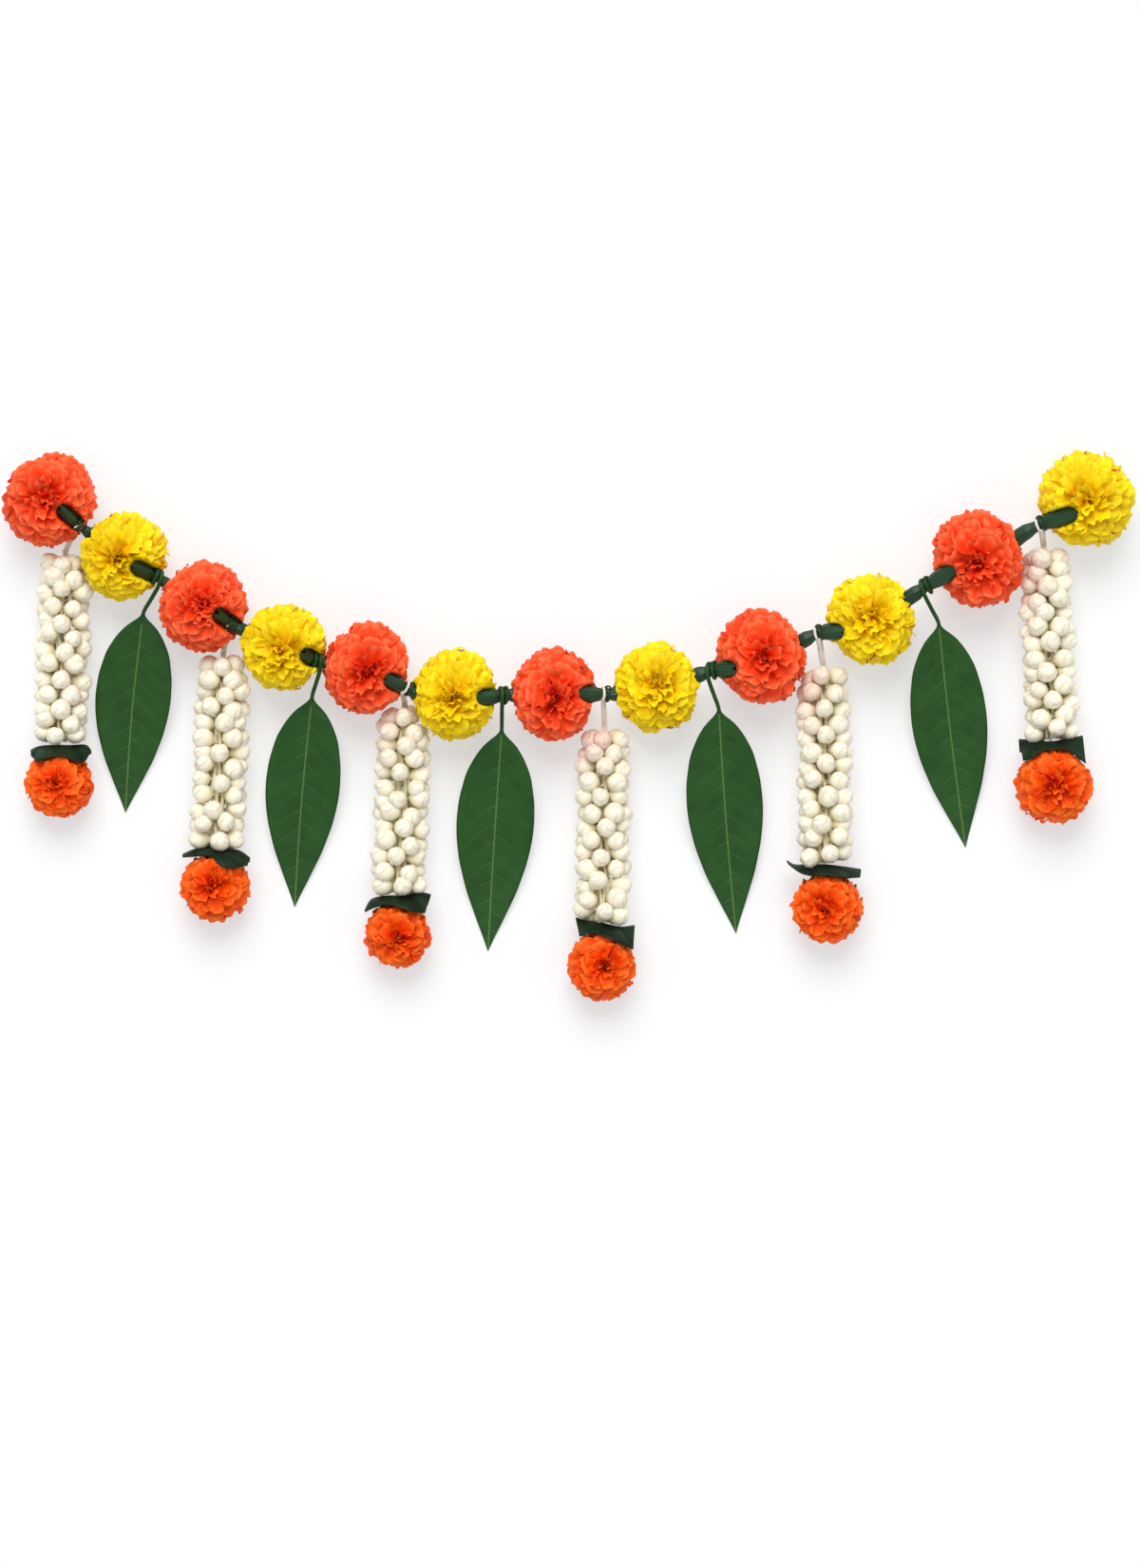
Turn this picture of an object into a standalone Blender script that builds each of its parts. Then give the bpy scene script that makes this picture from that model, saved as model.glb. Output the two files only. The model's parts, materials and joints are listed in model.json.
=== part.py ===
"""Door garland laid on its back.

Marigold balls, orange and yellow in turn, are threaded on one string with a ribbed green
stalk between each two of them. Each stalk is drawn in at a waist, and from the waists hang,
in turn, a jasmine tassel and a mango leaf.

+X runs along the swag, +Y points to the swag's two raised ends and +Z points up from the
surface that the garland lies on. Lengths below are in millimetres; MM turns them to metres.
"""
import math

import bmesh
import bpy
from mathutils import Vector

MM = 0.001
UP = Vector((0, 0, 1))

# Gaps: between two touching pieces, and round a thread in its hole
GAP = 0.4

# Marigolds rest on a flat foot; other petals, buds and leaves stay a little above the surface
FOOT_SINK = 1.0
FOOT_RADIUS = 9.0
PETAL_CLEAR = 0.8
BUD_CLEAR = 0.6
BLADE_CLEAR = 0.3

# Puts the middle of the whole swag's box over the origin
CENTRE_SHIFT = (1.2, 0.17, 0.0)

# Marigolds on the string: centre x, centre y, half height across the string, half width along it
MARIGOLDS = (
    (-409.9, 177.0, 37.9, 36.0),
    (-351.8, 133.1, 35.2, 33.6),
    (-289.1, 93.0, 36.7, 34.5),
    (-225.8, 61.5, 34.7, 33.2),
    (-160.5, 44.6, 36.7, 33.2),
    (-90.8, 24.0, 35.6, 32.6),
    (-12.8, 23.6, 36.0, 32.6),
    (69.0, 29.3, 35.6, 33.4),
    (150.8, 52.9, 37.9, 34.5),
    (237.8, 82.9, 37.1, 34.5),
    (322.1, 130.9, 39.7, 36.0),
    (407.6, 178.1, 39.0, 37.5),
)

# Petal rows of a marigold, from the whorl on top to the foot: angle from straight up, petals
BALL_ROWS = ((13, 5), (33, 8), (54, 10), (76, 12), (100, 10), (127, 8))
END_ROWS = ((15, 5), (40, 8), (68, 11), (97, 10), (128, 7))
PETAL_TIP = 1.03
PETAL_NOTCH = 0.91
END_PETAL_NOTCH = 0.87
PETAL_WAVE = 4.0
GROOVE = 0.80
GROOVE_PLACE = 0.36
WHORL_DIP = 0.86

# Stalks: x, y of the wide end in one marigold, of the waist, and of the narrow end in the next
STALKS = (
    ((-400.9, 170.6), (-386.6, 157.1), (-374.6, 148.1)),
    ((-344.6, 125.6), (-326.6, 116.6), (-314.6, 109.1)),
    ((-277.9, 88.1), (-267.4, 79.9), (-253.1, 72.4)),
    ((-209.6, 56.6), (-201.4, 50.6), (-190.1, 49.1)),
    ((-145.1, 36.4), (-129.4, 28.9), (-118.9, 23.6)),
    ((-73.1, 20.6), (-52.1, 22.9), (-40.1, 22.9)),
    ((7.9, 24.4), (26.6, 23.6), (45.0, 25.1)),
    ((131.6, 43.9), (112.9, 42.4), (95.6, 36.4)),
    ((216.4, 73.1), (195.4, 71.6), (181.1, 64.1)),
    ((302.6, 121.9), (281.6, 109.1), (266.6, 99.4)),
    ((398.6, 166.1), (370.1, 157.1), (354.4, 147.4)),
)
# Along a stalk, wide end to waist to narrow end: place (1 is the waist, 2 the narrow end), radius
STALK_SECTIONS = ((0.0, 6.2), (0.34, 7.2), (0.80, 3.7), (1.20, 3.5), (2.0, 5.8))
WAIST_RADIUS = 4.0
STALK_RIDGES = 5
STALK_GROOVE = 0.84
STALK_SUNK = 0.42
NARROW_REACH = 1.35
WAIST_LIFT = 0.20
NARROW_LIFT = 0.05
FIRST_STALK_WIDE_TO_RIGHT = 8
DENT_START = 0.35
DENT_DEPTH = 0.34
DENT_FLAT = 9.0
DENT_WIDTH = 21.0

# Main string, tied off behind the two end marigolds
STRING_RADIUS = 0.8
STRING_LIFT = 0.12
STRING_TAIL = 7.0
STRING_TAIL_SLOPE = 1.6
KNOT_SCALE = 2.6
KNOT_HALF = 1.2
KNOT_TAPER = 1.2
KNOT_OUT = 0.80
KNOT_DOWN = 0.42
KNOT_BEHIND = 3.0

# Mango leaves: waist they hang from, blade base x, y, tip x, y, blade width, sideways bow
MANGO_LEAVES = (
    (2, (-337.1, 88.1), (-353.2, -69.4), 60.4, -2.2),
    (4, (-203.6, 22.1), (-218.6, -144.4), 59.3, -1.6),
    (6, (-53.6, -3.8), (-64.9, -179.6), 61.9, -0.5),
    (8, (118.1, 12.4), (132.4, -165.4), 60.8, -1.0),
    (10, (292.1, 79.9), (315.0, -97.1), 60.4, -0.8),
)
# Half width of a mango blade, as a share of its widest, at shares of its length
BLADE_OUTLINE = (
    (0.0, 0.08), (0.05, 0.34), (0.11, 0.58), (0.20, 0.83), (0.32, 0.97), (0.46, 0.99),
    (0.60, 0.87), (0.73, 0.65), (0.87, 0.32), (1.0, 0.035),
)
BLADE_THICK = 1.1
BLADE_FOLD = 3.4
BLADE_WAVE = 1.7
BLADE_BASE_HEIGHT = 27.0
BLADE_TIP_HEIGHT = 0.5
PETIOLE_RADIUS = 1.6
PETIOLE_TURNS = 0.90
PETIOLE_PITCH = 4.0

# Jasmine tassels: waist they hang from, top of the column x, y, end marigold x, y, its radius
TASSELS = (
    (1, (-398.6, 135.4), (-403.9, -46.9), 27.0),
    (3, (-273.8, 55.1), (-280.1, -127.9), 27.0),
    (5, (-130.5, 15.4), (-136.1, -166.1), 26.7),
    (7, (27.8, -2.6), (25.5, -190.5), 27.4),
    (9, (201.0, 43.9), (203.6, -144.4), 28.1),
    (11, (375.4, 139.9), (382.9, -47.6), 29.6),
)
BUD_ROWS = 9
BUDS_PER_ROW = 6
BUD_SIDES = 5
COLUMN_RADIUS = 23.4
BUD_SHOULDER = 18.6
BUD_SHOULDER_SHARE = 0.82
BUD_HEIGHT = 0.58
COLUMN_CORE = 9.5
TOP_ROW_SHARE = 0.84
COLUMN_GAP = 3.9

# Leaf collar between the buds and the end marigold
COLLAR_RADIUS = 24.0
COLLAR_THICK = 1.0
COLLAR_CLEAR = 2.5
COLLAR_WAVES = 5
COLLAR_WAVE = 3.6

THREAD_RADIUS = 0.6
THREAD_SPREAD = 2.1
HOLE_SIDES = 6
# The hole takes both legs of the thread; its flat sides are nearer than its corners
HOLE_ROOM = 0.3
THREAD_HOLE = THREAD_RADIUS + THREAD_SPREAD / 2 + GAP + HOLE_ROOM
LOOP_STEP = 60

PAINTS = {
    "marigold orange": ((0.86, 0.10, 0.02), 0.62),
    "marigold yellow": ((0.95, 0.66, 0.01), 0.60),
    "marigold deep orange": ((0.83, 0.14, 0.01), 0.62),
    "green stalk": ((0.02, 0.07, 0.03), 0.42),
    "mango leaf": ((0.02, 0.08, 0.02), 0.38),
    "leaf collar": ((0.015, 0.05, 0.015), 0.45),
    "jasmine buds": ((0.86, 0.82, 0.64), 0.55),
    "cotton thread": ((0.72, 0.64, 0.45), 0.80),
}


def clear_scene():
    for old in list(bpy.data.objects):
        bpy.data.objects.remove(old, do_unlink=True)


def new_collection(name):
    group = bpy.data.collections.new(name)
    bpy.context.scene.collection.children.link(group)
    return group


def paint(name):
    material = bpy.data.materials.get(name)
    if material:
        return material
    colour, roughness = PAINTS[name]
    material = bpy.data.materials.new(name)
    material.use_nodes = True
    shader = material.node_tree.nodes["Principled BSDF"]
    shader.inputs["Base Color"].default_value = (*colour, 1)
    shader.inputs["Roughness"].default_value = roughness
    shader.inputs["Metallic"].default_value = 0
    return material


def object_from_mesh(name, mesh, group, material=None):
    piece = bpy.data.objects.new(name, mesh)
    piece.location = Vector(CENTRE_SHIFT) * MM
    group.objects.link(piece)
    if material:
        mesh.materials.clear()
        mesh.materials.append(paint(material))
    return piece


def finish_bmesh(bm, name, smooth_angle=math.radians(40)):
    """Turn a closed bmesh in millimetres into a mesh in metres with its faces outward."""
    bmesh.ops.recalc_face_normals(bm, faces=bm.faces)
    if bm.calc_volume(signed=True) < 0:
        bmesh.ops.reverse_faces(bm, faces=bm.faces)
    bmesh.ops.scale(bm, vec=(MM, MM, MM), verts=bm.verts)
    mesh = bpy.data.meshes.new(name)
    bm.to_mesh(mesh)
    bm.free()
    mesh.shade_smooth()
    mesh.set_sharp_from_angle(angle=smooth_angle)
    return mesh


def join_rings(bm, ring_a, ring_b):
    """Join two closed rings of (angle, vertex), of any counts, with a strip of triangles."""
    full = 2 * math.pi
    start = min(
        range(len(ring_b)),
        key=lambda k: abs((ring_b[k][0] - ring_a[0][0] + math.pi) % full - math.pi),
    )
    first_b = ring_a[0][0] + (ring_b[start][0] - ring_a[0][0] + math.pi) % full - math.pi

    def angle_a(k):
        return ring_a[k % len(ring_a)][0] + full * (k // len(ring_a))

    def angle_b(k):
        turned = (ring_b[(start + k) % len(ring_b)][0] - ring_b[start][0]) % full
        return first_b + turned + full * (k // len(ring_b))

    a = b = 0
    while a < len(ring_a) or b < len(ring_b):
        corner_a = ring_a[a % len(ring_a)][1]
        corner_b = ring_b[(start + b) % len(ring_b)][1]
        take_a = b >= len(ring_b) or (
            a < len(ring_a) and angle_a(a + 1) + angle_a(a) <= angle_b(b + 1) + angle_b(b)
        )
        if take_a:
            next_corner = ring_a[(a + 1) % len(ring_a)][1]
            a += 1
        else:
            next_corner = ring_b[(start + b + 1) % len(ring_b)][1]
            b += 1
        bm.faces.new((corner_a, corner_b, next_corner))


def fan(bm, ring, centre):
    for k in range(len(ring)):
        bm.faces.new((ring[k][1], ring[(k + 1) % len(ring)][1], centre))


def cap(bm, ring):
    bm.faces.new([corner for _, corner in ring])


def cross_axes(direction, hint=UP):
    """Two unit vectors square to a direction: one sideways, one as near to the hint as can be."""
    side = direction.cross(hint).normalized()
    return side, side.cross(direction).normalized()


def ring_at(bm, centre, side, lift, radii):
    """A ring of vertices round a centre, one for each radius given."""
    count = len(radii)
    ring = []
    for k, radius in enumerate(radii):
        angle = 2 * math.pi * k / count
        point = centre + (side * math.cos(angle) + lift * math.sin(angle)) * radius
        ring.append((angle, bm.verts.new(point)))
    return ring


def swept_mesh(name, sections):
    """A closed body through sections of (centre, direction, radii)."""
    bm = bmesh.new()
    rings = []
    for centre, direction, radii in sections:
        side, lift = cross_axes(direction)
        rings.append(ring_at(bm, centre, side, lift, radii))
    for first, second in zip(rings, rings[1:]):
        join_rings(bm, first, second)
    cap(bm, rings[0])
    cap(bm, rings[-1])
    return finish_bmesh(bm, name)


def thread_mesh(name, points, radius, scales=None):
    """A thread: a poly curve with a round bevel and filled caps, made a closed mesh."""
    curve = bpy.data.curves.new(name, "CURVE")
    curve.dimensions = "3D"
    curve.bevel_depth = radius * MM
    curve.bevel_resolution = 0
    curve.use_fill_caps = True
    spline = curve.splines.new("POLY")
    spline.points.add(len(points) - 1)
    for k, point in enumerate(points):
        spline.points[k].co = (*(Vector(point) * MM), 1)
        spline.points[k].radius = scales[k] if scales else 1.0
    guide = bpy.data.objects.new(name + "_curve", curve)
    bpy.context.scene.collection.objects.link(guide)
    evaluated = guide.evaluated_get(bpy.context.evaluated_depsgraph_get())
    mesh = bpy.data.meshes.new_from_object(evaluated)
    bpy.data.objects.remove(guide, do_unlink=True)
    bm = bmesh.new()
    bm.from_mesh(mesh)
    bmesh.ops.remove_doubles(bm, verts=bm.verts, dist=1e-6)
    bmesh.ops.recalc_face_normals(bm, faces=bm.faces)
    bm.to_mesh(mesh)
    bm.free()
    mesh.shade_smooth()
    return mesh


def largest_body(mesh):
    """Drop the loose scraps that a cut can leave beside the main body."""
    bm = bmesh.new()
    bm.from_mesh(mesh)
    seen = set()
    bodies = []
    for seed in bm.verts:
        if seed in seen:
            continue
        body = {seed}
        front = [seed]
        while front:
            vert = front.pop()
            for edge in vert.link_edges:
                other = edge.other_vert(vert)
                if other not in body:
                    body.add(other)
                    front.append(other)
        seen |= body
        bodies.append(body)
    bodies.sort(key=len)
    for body in bodies[:-1]:
        bmesh.ops.delete(bm, geom=list(body), context="VERTS")
    bm.to_mesh(mesh)
    bm.free()


def cut_away(piece, cutter_meshes, group):
    """Take the cutters out of a piece with Boolean differences, and keep its main body."""
    for cutter_mesh in cutter_meshes:
        cutter = object_from_mesh(piece.name + "_cutter", cutter_mesh, group)
        cutter.hide_render = True
        cutter.display_type = "WIRE"
        cut = piece.modifiers.new("cut", "BOOLEAN")
        cut.operation = "DIFFERENCE"
        cut.solver = "EXACT"
        cut.object = cutter
        evaluated = piece.evaluated_get(bpy.context.evaluated_depsgraph_get())
        mesh = bpy.data.meshes.new_from_object(evaluated)
        piece.modifiers.clear()
        piece.data = mesh
        bpy.data.objects.remove(cutter, do_unlink=True)
    largest_body(piece.data)


def flat(point):
    return Vector((point[0], point[1], 0))


def ball_height(half_height):
    return half_height - FOOT_SINK


def ball_centre(index):
    x, y, across, _ = MARIGOLDS[index]
    return Vector((x, y, ball_height(across)))


def string_direction(index):
    before = ball_centre(max(index - 1, 0))
    after = ball_centre(min(index + 1, len(MARIGOLDS) - 1))
    return (flat(after) - flat(before)).normalized()


def wide_ball(stalk):
    """The marigold that a stalk's wide end lies on: the outer one of its two."""
    return stalk + 1 if stalk + 1 >= FIRST_STALK_WIDE_TO_RIGHT else stalk


def stalk_points(stalk):
    """Wide end, waist and narrow end of a stalk. The wide end is half sunk in its marigold."""
    wide, waist, narrow = STALKS[stalk]
    centre = ball_centre(wide_ball(stalk))
    radius = MARIGOLDS[wide_ball(stalk)][2]
    out = min((flat(wide) - flat(centre)).length / radius, 0.95)
    wide_height = centre.z + radius * (math.sqrt(1 - out * out) - STALK_SUNK)
    waist_height = centre.z + radius * WAIST_LIFT
    narrow_height = centre.z + radius * NARROW_LIFT
    narrow = flat(waist).lerp(flat(narrow), NARROW_REACH)
    return (
        Vector((*wide, max(wide_height, waist_height))),
        Vector((*waist, waist_height)),
        Vector((narrow.x, narrow.y, narrow_height)),
    )


def stalk_sections(stalk, grow=0.0, past=0.0):
    """Sections of a stalk; a cutter for it grows by a gap and runs a little past its ends."""
    wide, waist, narrow = stalk_points(stalk)
    first = (waist - wide).normalized()
    second = (narrow - waist).normalized()
    sections = []
    for place, radius in STALK_SECTIONS:
        if place <= 1:
            centre = wide.lerp(waist, place)
        else:
            centre = waist.lerp(narrow, place - 1)
        direction = first if place <= 1 else second
        if place == 0:
            centre = centre - first * past
        if place == STALK_SECTIONS[-1][0]:
            centre = centre + second * past
        groove = 1.0 if grow else STALK_GROOVE
        radii = [
            (radius + grow) * (1.0 if k % 2 == 0 else groove) for k in range(2 * STALK_RIDGES)
        ]
        sections.append((centre, direction, radii))
    return sections


def string_points():
    """The string's route: tail, knot, then marigold and stalk in turn, knot and tail again."""
    points = []
    scales = []

    def add(point, scale=1.0):
        points.append(point)
        scales.append(scale)

    def middle(index):
        centre = ball_centre(index)
        return centre + UP * (STRING_LIFT * MARIGOLDS[index][2])

    def tail(index, sign):
        centre = ball_centre(index)
        along = string_direction(index) * sign
        reach = MARIGOLDS[index][3]
        knot = centre + along * (reach * KNOT_OUT) - UP * (reach * KNOT_DOWN)
        outward = (along - UP * STRING_TAIL_SLOPE).normalized()
        inner = centre + along * (reach * KNOT_OUT / 2) - UP * (reach * KNOT_DOWN / 4)
        return inner, knot, outward

    knot_steps = (
        (-KNOT_HALF - KNOT_TAPER, 1.0), (-KNOT_HALF, KNOT_SCALE), (KNOT_HALF, KNOT_SCALE),
        (KNOT_HALF + KNOT_TAPER, 1.0), (STRING_TAIL, 1.0),
    )
    inner, knot, outward = tail(0, -1)
    for offset, scale in reversed(knot_steps):
        add(knot + outward * (offset + KNOT_BEHIND), scale)
    add(inner)
    for index in range(len(MARIGOLDS)):
        add(middle(index))
        if index < len(STALKS):
            wide, waist, narrow = stalk_points(index)
            add(wide if wide_ball(index) == index else narrow)
            add(waist)
            add(narrow if wide_ball(index) == index else wide)
    inner, knot, outward = tail(len(MARIGOLDS) - 1, 1)
    add(inner)
    for offset, scale in knot_steps:
        add(knot + outward * (offset + KNOT_BEHIND), scale)
    return points, scales


def dent_share(point, lines):
    """How far a spot is pressed in by the stalks that lie on the ball: 0 to 1."""
    share = 0.0
    for start, end in lines:
        run = flat(end) - flat(start)
        along = max(0.0, min(1.0, (flat(point) - flat(start)).dot(run) / run.length_squared))
        distance = (flat(point) - flat(start) - run * along).length
        ease = 1 - max(0.0, min(1.0, (distance - DENT_FLAT) / (DENT_WIDTH - DENT_FLAT)))
        share = max(share, ease * ease * (3 - 2 * ease))
    return share


def petal_ball(name, centre, along, across_radius, along_radius, rows, notch, seed, dents, walls):
    """A double marigold: rows of petals round a whorl, pressed in under its stalks.

    dents are the stalks' lines over the ball. walls are planes (point, outward direction) that
    no petal crosses.
    """
    side = along.cross(UP)
    bm = bmesh.new()

    def spot(theta, phi, share):
        direction = Vector((
            math.sin(theta) * math.cos(phi),
            math.sin(theta) * math.sin(phi),
            math.cos(theta),
        ))
        offset = direction * across_radius
        offset += along * (direction.dot(along) * (along_radius - across_radius))
        point = centre + offset * share
        if point.z > centre.z - 0.35 * across_radius:
            point = centre + offset * share * (1 - DENT_DEPTH * dent_share(point, dents))
        for wall, outward in walls:
            past = (point - wall).dot(outward)
            if past > 0:
                point -= outward * past
        point.z = max(point.z, PETAL_CLEAR)
        return bm.verts.new(point)

    rings = []
    for row, (angle, petals) in enumerate(rows):
        turn = seed * 0.9 + row * 2.4
        theta = math.radians(angle)
        lip = []
        for k in range(2 * petals):
            phi = math.pi * k / petals
            wave = math.radians(PETAL_WAVE) * (1 if k % 2 == 0 else -1)
            share = PETAL_TIP if k % 2 == 0 else notch
            share += 0.02 * math.sin(5.1 * k + 1.7 * row + seed)
            lip.append((phi, spot(theta - wave, phi + turn, share)))
        rings.append((turn, lip))
        if row + 1 < len(rows):
            next_angle = rows[row + 1][0]
            theta = math.radians(angle + GROOVE_PLACE * (next_angle - angle))
            groove = []
            for k in range(petals):
                phi = 2 * math.pi * (k + 0.5) / petals
                groove.append((phi, spot(theta, phi + turn, GROOVE)))
            rings.append((turn, groove))
    turned = [[(phi + turn, vert) for phi, vert in ring] for turn, ring in rings]
    for first, second in zip(turned, turned[1:]):
        join_rings(bm, first, second)
    fan(bm, turned[0], spot(0, 0, WHORL_DIP))
    foot_count = rows[-1][1] + 2
    foot = []
    for k in range(foot_count):
        phi = 2 * math.pi * k / foot_count
        point = (centre.x + FOOT_RADIUS * math.cos(phi), centre.y + FOOT_RADIUS * math.sin(phi), 0)
        foot.append((phi, bm.verts.new(point)))
    join_rings(bm, turned[-1], foot)
    cap(bm, foot)
    return finish_bmesh(bm, name)


def make_marigolds(parts, cutters, string_cutter):
    last = len(MARIGOLDS) - 1
    for index, (_, _, across, along_radius) in enumerate(MARIGOLDS):
        centre = ball_centre(index)
        dents = []
        cuts = []
        for stalk in (index - 1, index):
            if 0 <= stalk < len(STALKS):
                wide, waist, _ = stalk_points(stalk)
                dents.append((wide.lerp(waist, DENT_START), waist))
                cuts.append(swept_mesh("stalk_cutter", stalk_sections(stalk, GAP, GAP)))
        walls = []
        for other in (index - 1, index + 1):
            if 0 <= other <= last:
                between = ball_centre(other) - centre
                share = along_radius / (along_radius + MARIGOLDS[other][3])
                outward = between.normalized()
                walls.append((centre + between * share - outward * (GAP / 2), outward))
        name = "marigold_%02d" % (index + 1)
        mesh = petal_ball(
            name, centre, string_direction(index), across, along_radius, BALL_ROWS,
            PETAL_NOTCH, index + 1, dents, walls,
        )
        colour = "marigold orange" if index % 2 == 0 else "marigold yellow"
        ball = object_from_mesh(name, mesh, parts, colour)
        cut_away(ball, cuts + [string_cutter.copy()], cutters)


def make_stalks(parts, cutters, string_cutter):
    for stalk in range(len(STALKS)):
        name = "stalk_%02d" % (stalk + 1)
        mesh = swept_mesh(name, stalk_sections(stalk))
        piece = object_from_mesh(name, mesh, parts, "green stalk")
        cut_away(piece, [string_cutter.copy()], cutters)


def waist_frame(stalk):
    """At a stalk's waist: its middle, the string's direction, the way up the swag, and out."""
    wide, waist, narrow = stalk_points(stalk)
    along = (narrow - wide).normalized()
    if along.x < 0:
        along = -along
    up_swag = (UP.cross(along)).normalized()
    return waist, along, up_swag, along.cross(up_swag).normalized()


def make_mango_leaves(parts):
    steps = 8
    half_step = math.pi * PETIOLE_TURNS / steps
    turn_radius = (WAIST_RADIUS + GAP + PETIOLE_RADIUS) / math.cos(half_step)
    for number, (hangs_from, base, tip, width, bow) in enumerate(MANGO_LEAVES, 1):
        waist, along, up_swag, out = waist_frame(hangs_from - 1)
        base_point = Vector((*base, BLADE_BASE_HEIGHT))
        down = (flat(base) - flat(waist)).normalized()
        # the turn climbs to the side that the leaf leans to, so the petiole clears its own start
        climb = PETIOLE_PITCH * PETIOLE_TURNS * (1 if down.dot(along) > 0 else -1)
        bm = bmesh.new()
        route = []
        for k in range(steps + 1):
            share = k / steps
            angle = math.radians(90) - 2 * math.pi * PETIOLE_TURNS * (1 - share)
            place = waist + along * (climb * (share - 0.5))
            route.append(place + (up_swag * math.cos(angle) + out * math.sin(angle)) * turn_radius)
        route.append(route[-1] + down * 6.0 - UP * 1.6)
        route.append(route[-1].lerp(base_point, 0.55) + UP * 1.5)
        rings = []
        for k, centre in enumerate(route):
            before = route[max(k - 1, 0)]
            after = route[k + 1] if k + 1 < len(route) else base_point
            direction = (after - before).normalized()
            if k <= steps:
                # round the waist the section keeps one side along the string
                side = (along - direction * along.dot(direction)).normalized()
            else:
                side = cross_axes(direction)[0]
                if side.dot(along) < 0:
                    side = -side
            lift = direction.cross(side)
            ring = []
            for turn in (150, 90, 30, -30, -90, -150):
                angle = math.radians(turn)
                offset = side * math.cos(angle) + lift * math.sin(angle)
                ring.append(bm.verts.new(centre + offset * PETIOLE_RADIUS))
            rings.append(ring)
        run = flat(tip) - flat(base)
        length = run.length
        run.normalize()
        across = run.cross(UP)
        if across.dot(along) < 0:
            across = -across
        for place, share in BLADE_OUTLINE:
            half = width / 2 * share
            fall = (1 - place) ** 1.6
            height = BLADE_TIP_HEIGHT + (BLADE_BASE_HEIGHT - BLADE_TIP_HEIGHT) * fall
            centre = flat(base) + run * (length * place) + UP * height
            centre += across * (bow * math.sin(math.pi * place))
            wave = BLADE_WAVE * math.sin(9.0 * place + number)
            fold = BLADE_FOLD * share
            ring = []
            edges = (
                (-1, fold + wave * share, BLADE_THICK), (0, 0, BLADE_THICK),
                (1, fold - wave * share, BLADE_THICK),
                (1, fold - wave * share, 0), (0, 0, 0), (-1, fold + wave * share, 0),
            )
            for sign, rise, thick in edges:
                point = centre + across * (sign * max(half, 1.2)) + UP * (rise + thick)
                point.z = max(point.z, BLADE_CLEAR + thick)
                ring.append(bm.verts.new(point))
            rings.append(ring)
        for first, second in zip(rings, rings[1:]):
            for k in range(6):
                a, b = first[k], first[(k + 1) % 6]
                c, d = second[(k + 1) % 6], second[k]
                if k in (3, 4):
                    bm.faces.new((b, c, d))
                    bm.faces.new((b, d, a))
                else:
                    bm.faces.new((a, b, c))
                    bm.faces.new((a, c, d))
        bm.faces.new(rings[0])
        bm.faces.new(rings[-1])
        name = "mango_leaf_%d" % number
        object_from_mesh(name, finish_bmesh(bm, name), parts, "mango leaf")


def column_axis(tassel):
    """Start, direction and length of a column of buds, and its end marigold's centre."""
    _, top, end, radius = TASSELS[tassel]
    end_centre = Vector((*end, ball_height(radius)))
    start = Vector((*top, COLUMN_RADIUS + 0.9))
    direction = (end_centre - start).normalized()
    length = (end_centre - start).length - radius - COLUMN_GAP
    return start, direction, length, end_centre


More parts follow.
